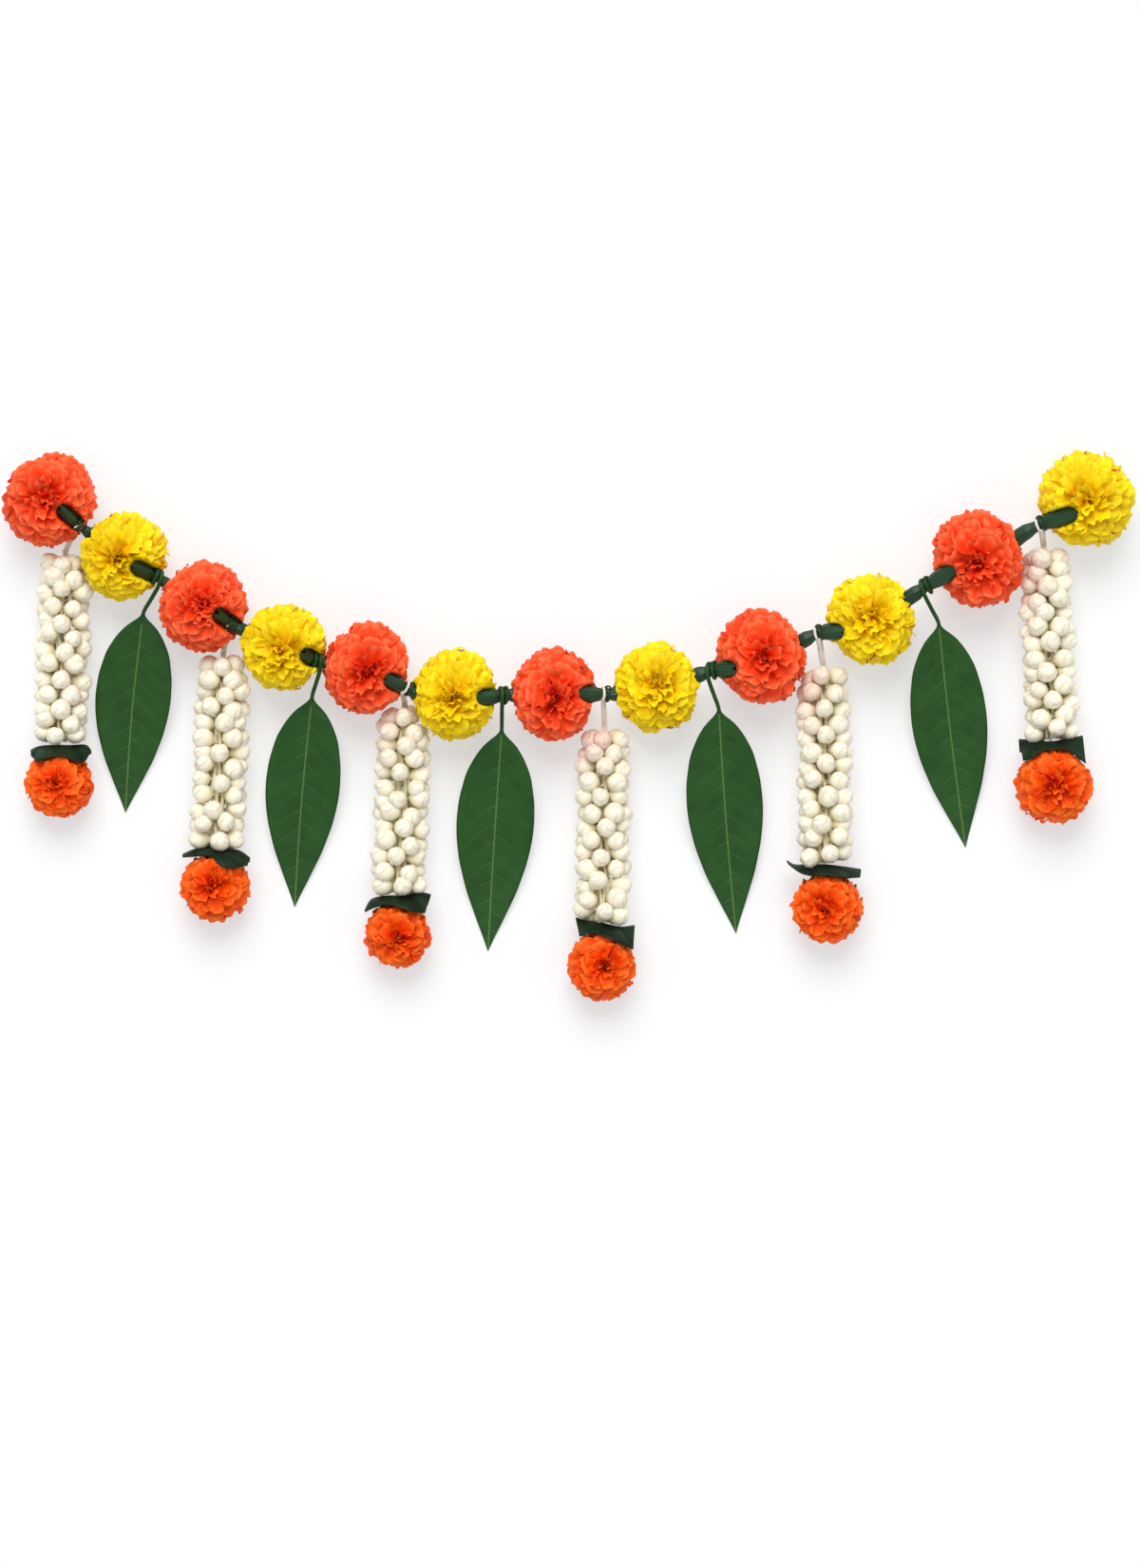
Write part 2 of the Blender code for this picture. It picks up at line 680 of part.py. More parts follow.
def make_columns(parts):
    for tassel in range(len(TASSELS)):
        start, direction, length, _ = column_axis(tassel)
        side, lift = cross_axes(direction)
        pitch = length / (BUD_ROWS + 1 / 3)
        step = 2 * math.pi / BUDS_PER_ROW
        bm = bmesh.new()

        def spot(along, angle, radius):
            point = start + direction * along
            point += (side * math.cos(angle) + lift * math.sin(angle)) * radius
            for index, (_, _, across, _) in enumerate(MARIGOLDS):
                away = point - ball_centre(index)
                clear = across * PETAL_TIP + 2 * GAP
                if away.length < clear:
                    point += away.normalized() * (clear - away.length)
            point.z = max(point.z, BUD_CLEAR)
            return bm.verts.new(point)

        def swell(along):
            """The column is slimmer at its first rows and full from its middle on."""
            return TOP_ROW_SHARE + (1 - TOP_ROW_SHARE) * min(1.0, along / (0.35 * length))

        seams = []
        for row in range(BUD_ROWS + 1):
            seam = []
            for k in range(2 * BUDS_PER_ROW):
                # a seam runs in zigzag between the buds of two staggered rows
                beside_bud = (k + row) % 2 == 0
                along = pitch * (row + (1 / 3 if beside_bud else 0))
                seam.append((k * step / 2, spot(along, k * step / 2, COLUMN_CORE)))
            seams.append(seam)
        for row in range(BUD_ROWS):
            middle = pitch * (row + 2 / 3)
            for bud in range(BUDS_PER_ROW):
                angle = (bud + (0.5 if row % 2 == 0 else 0.0)) * step
                first = round(angle / (step / 2))
                count = 2 * BUDS_PER_ROW
                upper = [seams[row][(first + k) % count][1] for k in (-1, 0, 1)]
                lower = [seams[row + 1][(first + k) % count][1] for k in (1, 0, -1)]
                corners = []
                for k, corner in enumerate(upper + lower):
                    u = (-1, 0, 1, 1, 0, -1)[k] * 0.5
                    v = (-1 / 3, -2 / 3, -1 / 3, 1 / 3, 2 / 3, 1 / 3)[k]
                    corners.append((math.atan2(v, u), corner))
                corners.sort(key=lambda pair: pair[0])
                shoulder = []
                for k in range(BUD_SIDES):
                    turn = -math.pi + 2 * math.pi * (k + 0.5) / BUD_SIDES
                    u = 0.5 * BUD_SHOULDER_SHARE * math.cos(turn)
                    v = BUD_HEIGHT * BUD_SHOULDER_SHARE * math.sin(turn)
                    radius = BUD_SHOULDER * swell(middle)
                    shoulder.append((turn, spot(middle + v * pitch, angle + u * step, radius)))
                join_rings(bm, corners, shoulder)
                fan(bm, shoulder, spot(middle, angle, COLUMN_RADIUS * swell(middle)))
        for seam, along in ((seams[0], 0.0), (seams[-1], pitch * (BUD_ROWS + 1 / 3))):
            ring = []
            for k in range(HOLE_SIDES):
                angle = 2 * math.pi * k / HOLE_SIDES
                ring.append((angle, spot(along, angle, THREAD_HOLE)))
            join_rings(bm, seam, ring)
            if along == 0:
                first_hole = ring
        join_rings(bm, first_hole, ring)
        name = "jasmine_%d" % (tassel + 1)
        object_from_mesh(name, finish_bmesh(bm, name), parts, "jasmine buds")


def make_collars(parts):
    """A wavy leaf, holed for the thread, that droops like a cap over the end marigold."""
    for tassel in range(len(TASSELS)):
        _, direction, _, end_centre = column_axis(tassel)
        side, lift = cross_axes(direction)
        radius = TASSELS[tassel][3]
        bm = bmesh.new()
        count = 2 * COLLAR_WAVES
        rings = []
        for layer in (0.0, COLLAR_THICK):
            shell = radius + COLLAR_CLEAR + layer
            for reach in (THREAD_HOLE, 0.55 * COLLAR_RADIUS, COLLAR_RADIUS):
                ring = []
                for k in range(count):
                    angle = 2 * math.pi * k / count
                    waved = COLLAR_WAVE * (reach / COLLAR_RADIUS) ** 2 * (k % 2)
                    if reach == THREAD_HOLE:
                        waved = 0
                    rise = math.sqrt(shell * shell - reach * reach) + waved
                    point = end_centre - direction * rise
                    point += (side * math.cos(angle) + lift * math.sin(angle)) * reach
                    point.z = max(point.z, BUD_CLEAR + layer)
                    ring.append((angle, bm.verts.new(point)))
                rings.append(ring)
        under, over = rings[:3], rings[3:]
        for sheet in (under, over):
            for first, second in zip(sheet, sheet[1:]):
                for k in range(count):
                    a, b = first[k][1], first[(k + 1) % count][1]
                    c, d = second[(k + 1) % count][1], second[k][1]
                    bm.faces.new((a, b, c))
                    bm.faces.new((a, c, d))
        for place in (0, 2):
            for k in range(count):
                a, b = under[place][k][1], under[place][(k + 1) % count][1]
                c, d = over[place][(k + 1) % count][1], over[place][k][1]
                bm.faces.new((a, b, c))
                bm.faces.new((a, c, d))
        name = "collar_%d" % (tassel + 1)
        object_from_mesh(name, finish_bmesh(bm, name), parts, "leaf collar")


def thread_route(tassel):
    """From the end marigold up through the column, over the waist and back down beside it."""
    start, direction, _, end_centre = column_axis(tassel)
    waist, along, up_swag, out = waist_frame(TASSELS[tassel][0] - 1)
    loop_radius = (WAIST_RADIUS + GAP + THREAD_RADIUS) / math.cos(math.radians(LOOP_STEP / 2))
    half = THREAD_SPREAD / 2
    side = along - direction * along.dot(direction)
    side.normalize()
    points = [
        end_centre - direction * 4 - side * half,
        start - direction * 2 - side * half,
    ]
    last_step = 5
    for step in range(last_step + 1):
        angle = math.radians(150 - LOOP_STEP * step)
        offset = -half + THREAD_SPREAD * step / last_step
        ring = up_swag * math.cos(angle) + out * math.sin(angle)
        points.append(waist + along * offset + ring * loop_radius)
    points.append(start - direction * 2 + side * half)
    points.append(start + direction * 22 + side * half)
    return points


def make_threads(parts):
    for tassel in range(len(TASSELS)):
        name = "tassel_thread_%d" % (tassel + 1)
        mesh = thread_mesh(name, thread_route(tassel), THREAD_RADIUS)
        object_from_mesh(name, mesh, parts, "cotton thread")


def make_end_marigolds(parts, cutters):
    for tassel, (_, _, _, radius) in enumerate(TASSELS):
        _, direction, _, end_centre = column_axis(tassel)
        name = "end_marigold_%d" % (tassel + 1)
        mesh = petal_ball(
            name, end_centre, direction, radius, radius, END_ROWS, END_PETAL_NOTCH, tassel + 3, [], [],
        )
        ball = object_from_mesh(name, mesh, parts, "marigold deep orange")
        sections = [
            (end_centre - direction * reach, direction, [THREAD_HOLE] * HOLE_SIDES)
            for reach in (radius + 4, 3.0)
        ]
        cut_away(ball, [swept_mesh("thread_hole", sections)], cutters)


def main():
    clear_scene()
    parts = new_collection("door garland")
    cutters = new_collection("cutters")
    points, scales = string_points()
    string_mesh = thread_mesh("main_string", points, STRING_RADIUS, scales)
    # the hole follows the string with a gap; at a knot the gap shrinks with the wider string
    hole_scales = [(STRING_RADIUS * scale + GAP) / (STRING_RADIUS + GAP) for scale in scales]
    string_cutter = thread_mesh("string_cutter", points, STRING_RADIUS + GAP, hole_scales)
    object_from_mesh("main_string", string_mesh, parts, "cotton thread")
    make_stalks(parts, cutters, string_cutter)
    make_marigolds(parts, cutters, string_cutter)
    make_mango_leaves(parts)
    make_columns(parts)
    make_collars(parts)
    make_end_marigolds(parts, cutters)
    make_threads(parts)
    for piece in parts.objects:
        triangles = sum(len(face.vertices) - 2 for face in piece.data.polygons)
        print("%s %d triangles" % (piece.name, triangles))


main()
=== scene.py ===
# %% [markdown]
# A door garland, dressed for its picture.
# A real one is strung by hand: marigold heads on one string, rolled green leaves tied between them,
# and strings of jasmine buds and mango leaves hanging from the ties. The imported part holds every
# piece in plain form. This lesson makes each one again with its petals, buds, veins and twisted
# threads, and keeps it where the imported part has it.

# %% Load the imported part
import json
import math
import random

import bmesh
import bpy
from mathutils import Matrix, Vector

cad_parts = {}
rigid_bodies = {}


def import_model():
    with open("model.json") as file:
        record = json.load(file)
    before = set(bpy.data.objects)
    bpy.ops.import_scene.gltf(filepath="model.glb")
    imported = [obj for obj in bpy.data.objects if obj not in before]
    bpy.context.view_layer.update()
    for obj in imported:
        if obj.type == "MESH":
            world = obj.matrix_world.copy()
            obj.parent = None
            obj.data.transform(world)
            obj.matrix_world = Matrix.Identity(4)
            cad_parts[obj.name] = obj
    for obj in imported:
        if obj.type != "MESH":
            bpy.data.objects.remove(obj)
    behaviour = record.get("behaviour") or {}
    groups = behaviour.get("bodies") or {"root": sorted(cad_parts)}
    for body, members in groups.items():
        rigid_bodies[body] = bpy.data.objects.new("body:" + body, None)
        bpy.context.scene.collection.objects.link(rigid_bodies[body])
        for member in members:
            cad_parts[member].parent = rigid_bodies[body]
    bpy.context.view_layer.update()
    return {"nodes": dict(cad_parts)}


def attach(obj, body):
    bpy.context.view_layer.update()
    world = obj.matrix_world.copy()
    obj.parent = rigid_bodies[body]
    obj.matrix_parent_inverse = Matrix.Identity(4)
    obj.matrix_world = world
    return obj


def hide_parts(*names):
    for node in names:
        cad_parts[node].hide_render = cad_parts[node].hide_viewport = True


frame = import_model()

MM = 0.001
FULL_TURN = 2 * math.pi
UP = Vector((0, 0, 1))
scene = bpy.context.scene

# %% [markdown]
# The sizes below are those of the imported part, in millimetres. The swag lies on its back: X runs
# along it, Y points to its raised ends and Z points up from the surface. A scene script can't read
# the part's source, so the places of heads, stalks, leaves and tassels stand here once more.

# %% Places of the pieces
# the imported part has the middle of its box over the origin, which moves these places by this much
SHIFT = Vector((1.2, 0.17, 0.0))
MARIGOLDS = (
    # centre x, centre y, half height across the string, half width along it
    (-409.9, 177.0, 37.9, 36.0), (-351.8, 133.1, 35.2, 33.6), (-289.1, 93.0, 36.7, 34.5),
    (-225.8, 61.5, 34.7, 33.2), (-160.5, 44.6, 36.7, 33.2), (-90.8, 24.0, 35.6, 32.6),
    (-12.8, 23.6, 36.0, 32.6), (69.0, 29.3, 35.6, 33.4), (150.8, 52.9, 37.9, 34.5),
    (237.8, 82.9, 37.1, 34.5), (322.1, 130.9, 39.7, 36.0), (407.6, 178.1, 39.0, 37.5),
)
STALKS = (
    # wide end in one head, waist, narrow end in the next head
    ((-400.9, 170.6), (-386.6, 157.1), (-374.6, 148.1)),
    ((-344.6, 125.6), (-326.6, 116.6), (-314.6, 109.1)),
    ((-277.9, 88.1), (-267.4, 79.9), (-253.1, 72.4)),
    ((-209.6, 56.6), (-201.4, 50.6), (-190.1, 49.1)),
    ((-145.1, 36.4), (-129.4, 28.9), (-118.9, 23.6)),
    ((-73.1, 20.6), (-52.1, 22.9), (-40.1, 22.9)),
    ((7.9, 24.4), (26.6, 23.6), (45.0, 25.1)),
    ((131.6, 43.9), (112.9, 42.4), (95.6, 36.4)),
    ((216.4, 73.1), (195.4, 71.6), (181.1, 64.1)),
    ((302.6, 121.9), (281.6, 109.1), (266.6, 99.4)),
    ((398.6, 166.1), (370.1, 157.1), (354.4, 147.4)),
)
FIRST_STALK_WIDE_TO_RIGHT = 8
# how thick each strip is rolled, as a share of the stoutest, and how far its mouth runs on, in mm
STALK_SIZES = (0.72, 0.74, 0.84, 0.82, 0.86, 0.92, 0.96, 1.0, 0.98, 0.98, 1.0)
MOUTH_REACHES = (1.6, 0.4, 3.0, 4.2, 3.0, 3.4, 3.0, 1.8, 0.6, 3.0, 1.8)
MANGO_LEAVES = (
    # waist it hangs from, blade base, blade tip, blade width, sideways bow
    (2, (-337.1, 88.1), (-353.2, -69.4), 60.4, -2.2),
    (4, (-203.6, 22.1), (-218.6, -144.4), 59.3, -1.6),
    (6, (-53.6, -3.8), (-64.9, -179.6), 61.9, -0.5),
    (8, (118.1, 12.4), (132.4, -165.4), 60.8, -1.0),
    (10, (292.1, 79.9), (315.0, -97.1), 60.4, -0.8),
)
TASSELS = (
    # waist it hangs from, top of the buds, centre of the end marigold, its radius
    (1, (-398.6, 135.4), (-403.9, -46.9), 27.0),
    (3, (-273.8, 55.1), (-280.1, -127.9), 27.0),
    (5, (-130.5, 15.4), (-136.1, -166.1), 26.7),
    (7, (27.8, -2.6), (25.5, -190.5), 27.4),
    (9, (201.0, 43.9), (203.6, -144.4), 28.1),
    (11, (375.4, 139.9), (382.9, -47.6), 29.6),
)
FOOT_SINK = 1.0
STALK_SUNK = 0.42
NARROW_REACH = 1.35
WAIST_LIFT = 0.20
NARROW_LIFT = 0.05
WAIST_RADIUS = 4.0
COLUMN_RADIUS = 23.4
COLUMN_ABOVE_SURFACE = 0.9
COLUMN_GAP = 3.9


def flat(point):
    """A plan point on the surface, at height 0."""
    return Vector((point[0], point[1], 0))


def metres(point):
    """A place from the tables above, in millimetres, as the scene has it."""
    return (point + SHIFT) * MM


def on_circle(side, lift, angle):
    """A step from the middle of a circle to its rim, turned from side towards lift."""
    return side * math.cos(angle) + lift * math.sin(angle)


def side_and_lift(direction):
    """The ways to the right of a line and up from it."""
    side = direction.cross(UP).normalized()
    return side, side.cross(direction)


def head_centre(index):
    x, y, across, _ = MARIGOLDS[index]
    return Vector((x, y, across - FOOT_SINK))


def string_direction(index):
    before = head_centre(max(index - 1, 0))
    after = head_centre(min(index + 1, len(MARIGOLDS) - 1))
    return (flat(after) - flat(before)).normalized()


def home_head(stalk):
    """The head that a stalk's wide end lies on."""
    return stalk + 1 if stalk + 1 >= FIRST_STALK_WIDE_TO_RIGHT else stalk


def stalk_points(stalk):
    """Wide end, waist and narrow end of a stalk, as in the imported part."""
    wide, waist, narrow = STALKS[stalk]
    home = home_head(stalk)
    centre = head_centre(home)
    radius = MARIGOLDS[home][2]
    out = min((flat(wide) - flat(centre)).length / radius, 0.95)
    waist_height = centre.z + radius * WAIST_LIFT
    wide_height = max(centre.z + radius * (math.sqrt(1 - out * out) - STALK_SUNK), waist_height)
    narrow = flat(waist).lerp(flat(narrow), NARROW_REACH)
    return (
        Vector((*wide, wide_height)),
        Vector((*waist, waist_height)),
        Vector((narrow.x, narrow.y, centre.z + radius * NARROW_LIFT)),
    )


def waist_frame(stalk):
    """At a waist: its middle, the string's direction, the way up the swag, and outward."""
    wide, waist, narrow = stalk_points(stalk)
    along = (narrow - wide).normalized()
    if along.x < 0:
        along = -along
    up_swag = UP.cross(along).normalized()
    return waist, along, up_swag, along.cross(up_swag).normalized()


def tassel_axis(tassel):
    """Start of the bud column, its direction and length, and the end marigold's centre."""
    _, top, end, radius = TASSELS[tassel]
    end_centre = Vector((*end, radius - FOOT_SINK))
    start = Vector((*top, COLUMN_RADIUS + COLUMN_ABOVE_SURFACE))
    direction = (end_centre - start).normalized()
    return start, direction, (end_centre - start).length - radius - COLUMN_GAP, end_centre


print("heads", len(MARIGOLDS), "stalks", len(STALKS), "tassels", len(TASSELS))

# %% [markdown]
# The photograph was taken from straight above with a long lens, so the swag shows almost no
# perspective. One pixel of its 1200 by 1650 frame is 0.75 mm at the heads' middle height. The
# camera comes first, because everything is judged through it.

# %% Camera
PIXEL = 0.75
FRAME_HEIGHT_PIXELS = 1650
FRAME_MIDDLE = Vector((0.4, -46.9, 36.0))
LENS = 135.0
SENSOR = 36.0
SEES_TO = 60.0


def link(name, data, group=None):
    thing = bpy.data.objects.new(name, data)
    (group or scene.collection).objects.link(thing)
    return thing


camera_data = bpy.data.cameras.new("straight_above")
camera_data.lens = LENS
camera_data.sensor_width = SENSOR
camera_data.clip_end = SEES_TO
camera = link("straight_above", camera_data)
camera.location = metres(FRAME_MIDDLE + UP * (FRAME_HEIGHT_PIXELS * PIXEL * LENS / SENSOR))
scene.camera = camera
print("camera height, m:", round(camera.location.z, 3))

# %% [markdown]
# Every material and every Geometry Nodes tree here is written with one function that adds a node.
# Around it stand short names for the nodes that come again and again. Where a node is given as an
# input, its first output in use is meant.

# %% Helpers for node trees


def linear(code):
    """A colour written as sRGB hex, in the linear values that the shaders use."""
    parts = [int(code[k:k + 2], 16) / 255 for k in (1, 3, 5)]
    return (*(c / 12.92 if c <= 0.04045 else ((c + 0.055) / 1.055) ** 2.4 for c in parts), 1.0)


def output(value):
    """A node's first output in use. Anything else stays as it is."""
    if isinstance(value, bpy.types.Node):
        return next(socket for socket in value.outputs if socket.enabled)
    return value


def add(tree, kind, sockets=None, **settings):
    """Adds a node. sockets gives its inputs, by name or number, as values, outputs or nodes."""
    node = tree.nodes.new(kind)
    for key, value in settings.items():
        setattr(node, key, value)
    for key, value in (sockets or {}).items():
        value = output(value)
        if isinstance(value, bpy.types.NodeSocket):
            tree.links.new(value, node.inputs[key])
        else:
            node.inputs[key].default_value = value
    return node


def calc(tree, operation, a, b=0.0):
    return add(tree, "ShaderNodeMath", {0: a, 1: b}, operation=operation)


def vector_calc(tree, operation, a, b=(0, 0, 0)):
    """Vector maths; for SCALE b is the factor."""
    second = "Scale" if operation == "SCALE" else 1
    return add(tree, "ShaderNodeVectorMath", {0: a, second: b}, operation=operation)


def ranged(tree, value, low, high, to_low, to_high, form="LINEAR"):
    """Maps low to high onto to_low to to_high, and stops there."""
    return add(tree, "ShaderNodeMapRange", {
        "Value": value, "From Min": low, "From Max": high, "To Min": to_low, "To Max": to_high,
    }, interpolation_type=form)


def parts_of(tree, vector):
    return add(tree, "ShaderNodeSeparateXYZ", {0: vector}).outputs


def noise(tree, place, scale, detail, roughness=0.5):
    return add(tree, "ShaderNodeTexNoise", {
        "Vector": place, "Scale": scale, "Detail": detail, "Roughness": roughness,
    })


def ramp(tree, value, *stops):
    """A colour ramp from pairs of place and colour."""
    node = add(tree, "ShaderNodeValToRGB", {"Fac": value})
    elements = node.color_ramp.elements
    for element, (place, code) in zip(elements, stops):
        element.position = place
        element.color = linear(code)
    for place, code in stops[2:]:
        elements.new(place).color = linear(code)
    return node


def mixed(tree, share, a, code):
    """A colour mixed with a second one by a share."""
    return add(tree, "ShaderNodeMix", {"Factor": share, "A": a, "B": linear(code)}, data_type="RGBA")


def toned(tree, colour, tone):
    return add(tree, "ShaderNodeHueSaturation", {"Value": tone, "Color": colour})


def note(tree, name):
    """What a mesh keeps for each of its points under this name."""
    return add(tree, "ShaderNodeAttribute", attribute_name=name).outputs["Fac"]


def uv_place(tree):
    return add(tree, "ShaderNodeUVMap", uv_map="UVMap")


def object_place(tree):
    return add(tree, "ShaderNodeTexCoord").outputs["Object"]


def new_material(name):
    material = bpy.data.materials.new(name)
    material.use_nodes = True
    material.node_tree.nodes.clear()
    return material, material.node_tree


def surface(tree, colour, roughness, ior, specular, relief=None, more=None):
    """The end of a material: one Principled shader. relief is a height, its strength and its depth."""
    looks = {"Base Color": colour, "Roughness": roughness, "IOR": ior, "Specular IOR Level": specular}
    if relief:
        height, strength, depth = relief
        looks["Normal"] = add(tree, "ShaderNodeBump", {
            "Strength": strength, "Distance": depth, "Height": height,
        })
    looks.update(more or {})
    shader = add(tree, "ShaderNodeBsdfPrincipled", looks)
    add(tree, "ShaderNodeOutputMaterial", {"Surface": shader})


print("a mid grey in linear values:", [round(c, 3) for c in linear("#808080")])

# %% [markdown]
# The garland lies on a white sweep under a large soft light that stands towards the top of the
# picture. A broad light gives the blurred shadows that fall towards the bottom of the picture, and a
# bright plain world fills the rest. The sweep is an opal light table, as in many pack shots.

# %% Floor, world and lights
FLOOR_SIZE = 30.0
SOFT_BOX = 6.0
KEY_PLACE = Vector((-0.4, 5.0, 7.0))
KEY_POWER = 560.0
WORLD_STRENGTH = 0.62
TABLE_GLOW = 0.50


def new_mesh(name, verts, edges, faces):
    mesh = bpy.data.meshes.new(name)
    mesh.from_pydata(verts, edges, faces)
    return mesh


def light_table():
    """Opal white acrylic lit from below: matt, and its own glow keeps the shadows on it pale."""
    material, tree = new_material("opal_acrylic_light_table")
    grain = noise(tree, object_place(tree), 260.0, 2.0)
    surface(tree, ranged(tree, grain, 0.0, 1.0, 0.455, 0.465), 0.9, 1.5, 0.1, more={
        "Emission Color": linear("#FBFDFF"), "Emission Strength": TABLE_GLOW,
    })
    return material


half = FLOOR_SIZE / 2
corners = [(-half, -half, 0), (half, -half, 0), (half, half, 0), (-half, half, 0)]
floor = link("floor", new_mesh("floor", corners, [], [(0, 1, 2, 3)]))
floor.data.materials.append(light_table())

world = bpy.data.worlds.new("soft_white_room")
world.use_nodes = True
background = world.node_tree.nodes["Background"]
background.inputs["Color"].default_value = linear("#FFFFFF")
background.inputs["Strength"].default_value = WORLD_STRENGTH
scene.world = world
scene.view_settings.view_transform = "Standard"
scene.view_settings.look = "None"

lamp = bpy.data.lights.new("soft_box", "AREA")
lamp.shape = "DISK"
lamp.size = SOFT_BOX
lamp.energy = KEY_POWER
holder = link("soft_box", lamp)
holder.location = KEY_PLACE
holder.rotation_mode = "QUATERNION"
holder.rotation_quaternion = (-KEY_PLACE).to_track_quat("-Z", "Y")

# %% [markdown]
# Every piece ends the same way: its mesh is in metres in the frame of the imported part, it rides on
# the one body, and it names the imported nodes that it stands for. The helpers below build closed
# tubes through rings of points and hand a finished piece over.

# %% Helpers for meshes
PIECES = []


def face_outward(mesh):
    """Turns a closed mesh's faces outward."""
    bm = bmesh.new()
    bm.from_mesh(mesh)
    bmesh.ops.recalc_face_normals(bm, faces=bm.faces)
    if bm.calc_volume(signed=True) < 0:
        bmesh.ops.reverse_faces(bm, faces=bm.faces)
    bm.to_mesh(mesh)
    bm.free()
    mesh.shade_smooth()


def new_bmesh():
    bm = bmesh.new()
    bm.loops.layers.uv.new("UVMap")
    return bm


def closed_shape(bm, name, finish=None, group=None):
    """Makes an object of closed shells from a bmesh."""
    mesh = bpy.data.meshes.new(name)
    bm.to_mesh(mesh)
    bm.free()
    face_outward(mesh)
    if finish:
        mesh.materials.append(finish)
    return link(name, mesh, group)


def add_face(bm, corners, marks):
    """Adds a smooth face with a place in the UV map for each corner."""
    face = bm.faces.new(corners)
    face.smooth = True
    for loop, mark in zip(face.loops, marks):
        loop[bm.loops.layers.uv[0]].uv = mark


def add_rings(bm, rings, mark=None):
    """Adds a closed tube through rings of points, with both ends capped.

    Its UV map runs once round the tube in x and along it in y, or else mark(ring) is the place of
    all faces that begin at a ring.
    """
    verts = [[bm.verts.new(point) for point in ring] for ring in rings]
    last = len(rings) - 1
    count = len(rings[0])

    def place(r, k, home):
        return mark(home) if mark else (k / count, r / last)

    for r in range(last):
        for k in range(count):
            after = (k + 1) % count
            corners = (verts[r][k], verts[r][after], verts[r + 1][after], verts[r + 1][k])
            steps = ((r, k), (r, k + 1), (r + 1, k + 1), (r + 1, k))
            add_face(bm, corners, [place(*step, r) for step in steps])
    for r in (0, last):
        add_face(bm, verts[r], [place(r, k, r) for k in range(count)])


def heading(line, r):
    """A line's direction at one of its points."""
    return (line[min(r + 1, len(line) - 1)] - line[max(r - 1, 0)]).normalized()


def add_tube(bm, line, radii, sides, hint, mark=None):
    """Adds a capped round tube along a line.

    mark is its place in the UV map; without one its own length runs there from y = -1 to 0.
    """
    rings = []
    angles = [FULL_TURN * k / sides for k in range(sides)]
    side = None
    for r, centre in enumerate(line):
        direction = heading(line, r)
        if side is None:
            side = direction.cross(hint).normalized()
        side = (side - direction * side.dot(direction)).normalized()
        lift = side.cross(direction)
        rings.append([metres(centre + on_circle(side, lift, angle) * radii[r]) for angle in angles])
    last = len(line) - 1
    add_rings(bm, rings, lambda r: mark or (0.05, r / last - 1))


def hand_over(piece, slot, *nodes):
    """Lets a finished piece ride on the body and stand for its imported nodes."""
    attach(piece, "root")
    if nodes:
        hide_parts(*nodes)
    triangles = sum(len(face.vertices) - 2 for face in piece.data.polygons)
    PIECES.append((piece.name, triangles))
    return triangles


def smooth_steps(points, count):
    """A rounded line of count points, evenly split, that runs through the given ones."""
    out = []
    last = len(points) - 1
    for k in range(count):
        place = k / (count - 1) * last
        i = min(int(place), last - 1)
        t = place - i
        a, b = points[max(i - 1, 0)], points[i]
        c, d = points[i + 1], points[min(i + 2, last)]
        bend = (2 * a - 5 * b + 4 * c - d) * t * t
        out.append(0.5 * (2 * b + (c - a) * t + bend + (3 * b - a - 3 * c + d) * t ** 3))
    return out


def between(pairs, place):
    """Reads a smooth line off a table of (place, value)."""
    for (x0, y0), (x1, y1) in zip(pairs, pairs[1:]):
        if place <= x1:
            t = max(0.0, (place - x0) / (x1 - x0))
            t = t * t * (3 - 2 * t)
            return y0 + (y1 - y0) * t
    return pairs[-1][1]


def keep_reach(mesh, values):
    """Keeps how far along its shape each point lies, for the finish to read."""
    mesh.attributes.new("reach", "FLOAT", "POINT").data.foreach_set("value", values)


def grid_faces(rows, columns):
    """Quads between the points of a grid that has so many rows and columns of points."""
    starts = [row * columns + column for row in range(rows - 1) for column in range(columns - 1)]
    return [(a, a + 1, a + 1 + columns, a + columns) for a in starts]


def new_group(name):
    group = bpy.data.collections.new(name)
    scene.collection.children.link(group)
    return group


print("quads in a grid of 3 by 4 points:", len(grid_faces(3, 4)))

# %% [markdown]
# A marigold head is a ball of some hundred and fifty ray petals. Each is a thin fan, narrow at its
# root and frilled at its end, with fine veins running along it. They could be sculpted one by one,
# but a head follows a rule: petals turn round the head by the golden angle. So a few petal shapes
# are made in mesh code, and Geometry Nodes set them on the head's guide points.

# %% Petal shapes
PETAL_COLUMNS = 15
PETAL_ROWS = 6
PETAL_KINDS = 6


def petal_shape(name, group, ruffle, waves, cup, fold, reflex, tooth, lobes, phase):
    """A fan of unit length and width: x across it, y outward, z to its upper face."""
    verts = []
    reach = []
    marks = []
    for row in range(PETAL_ROWS):
        v = row / (PETAL_ROWS - 1)
        half = 0.5 * (0.15 + 0.85 * math.sin(math.pi / 2 * min(1.0, v / 0.82)))
        for column in range(PETAL_COLUMNS):
            u = -1 + 2 * column / (PETAL_COLUMNS - 1)
            x = u * half * (1 - 0.20 * v * v * u ** 4)
            y = v - 0.36 * abs(u) ** 2.6 * v * v
            y += tooth * v ** 4 * math.cos(lobes * math.pi * u + phase)
            z = half * (cup * u * u + fold * abs(u)) - reflex * v ** 2.3
            z += ruffle * v * v * math.sin(waves * math.pi * u + phase) * (0.45 + 0.55 * abs(u))
            verts.append((x, y, z))
            reach.append(v)
            marks.append((column / (PETAL_COLUMNS - 1), v))
    mesh = new_mesh(name, verts, [], grid_faces(PETAL_ROWS, PETAL_COLUMNS))
    uv = mesh.uv_layers.new(name="UVMap")
    for loop in mesh.loops:
        uv.data[loop.index].uv = marks[loop.vertex_index]
    keep_reach(mesh, reach)
    mesh.shade_smooth()
    link(name, mesh, group)


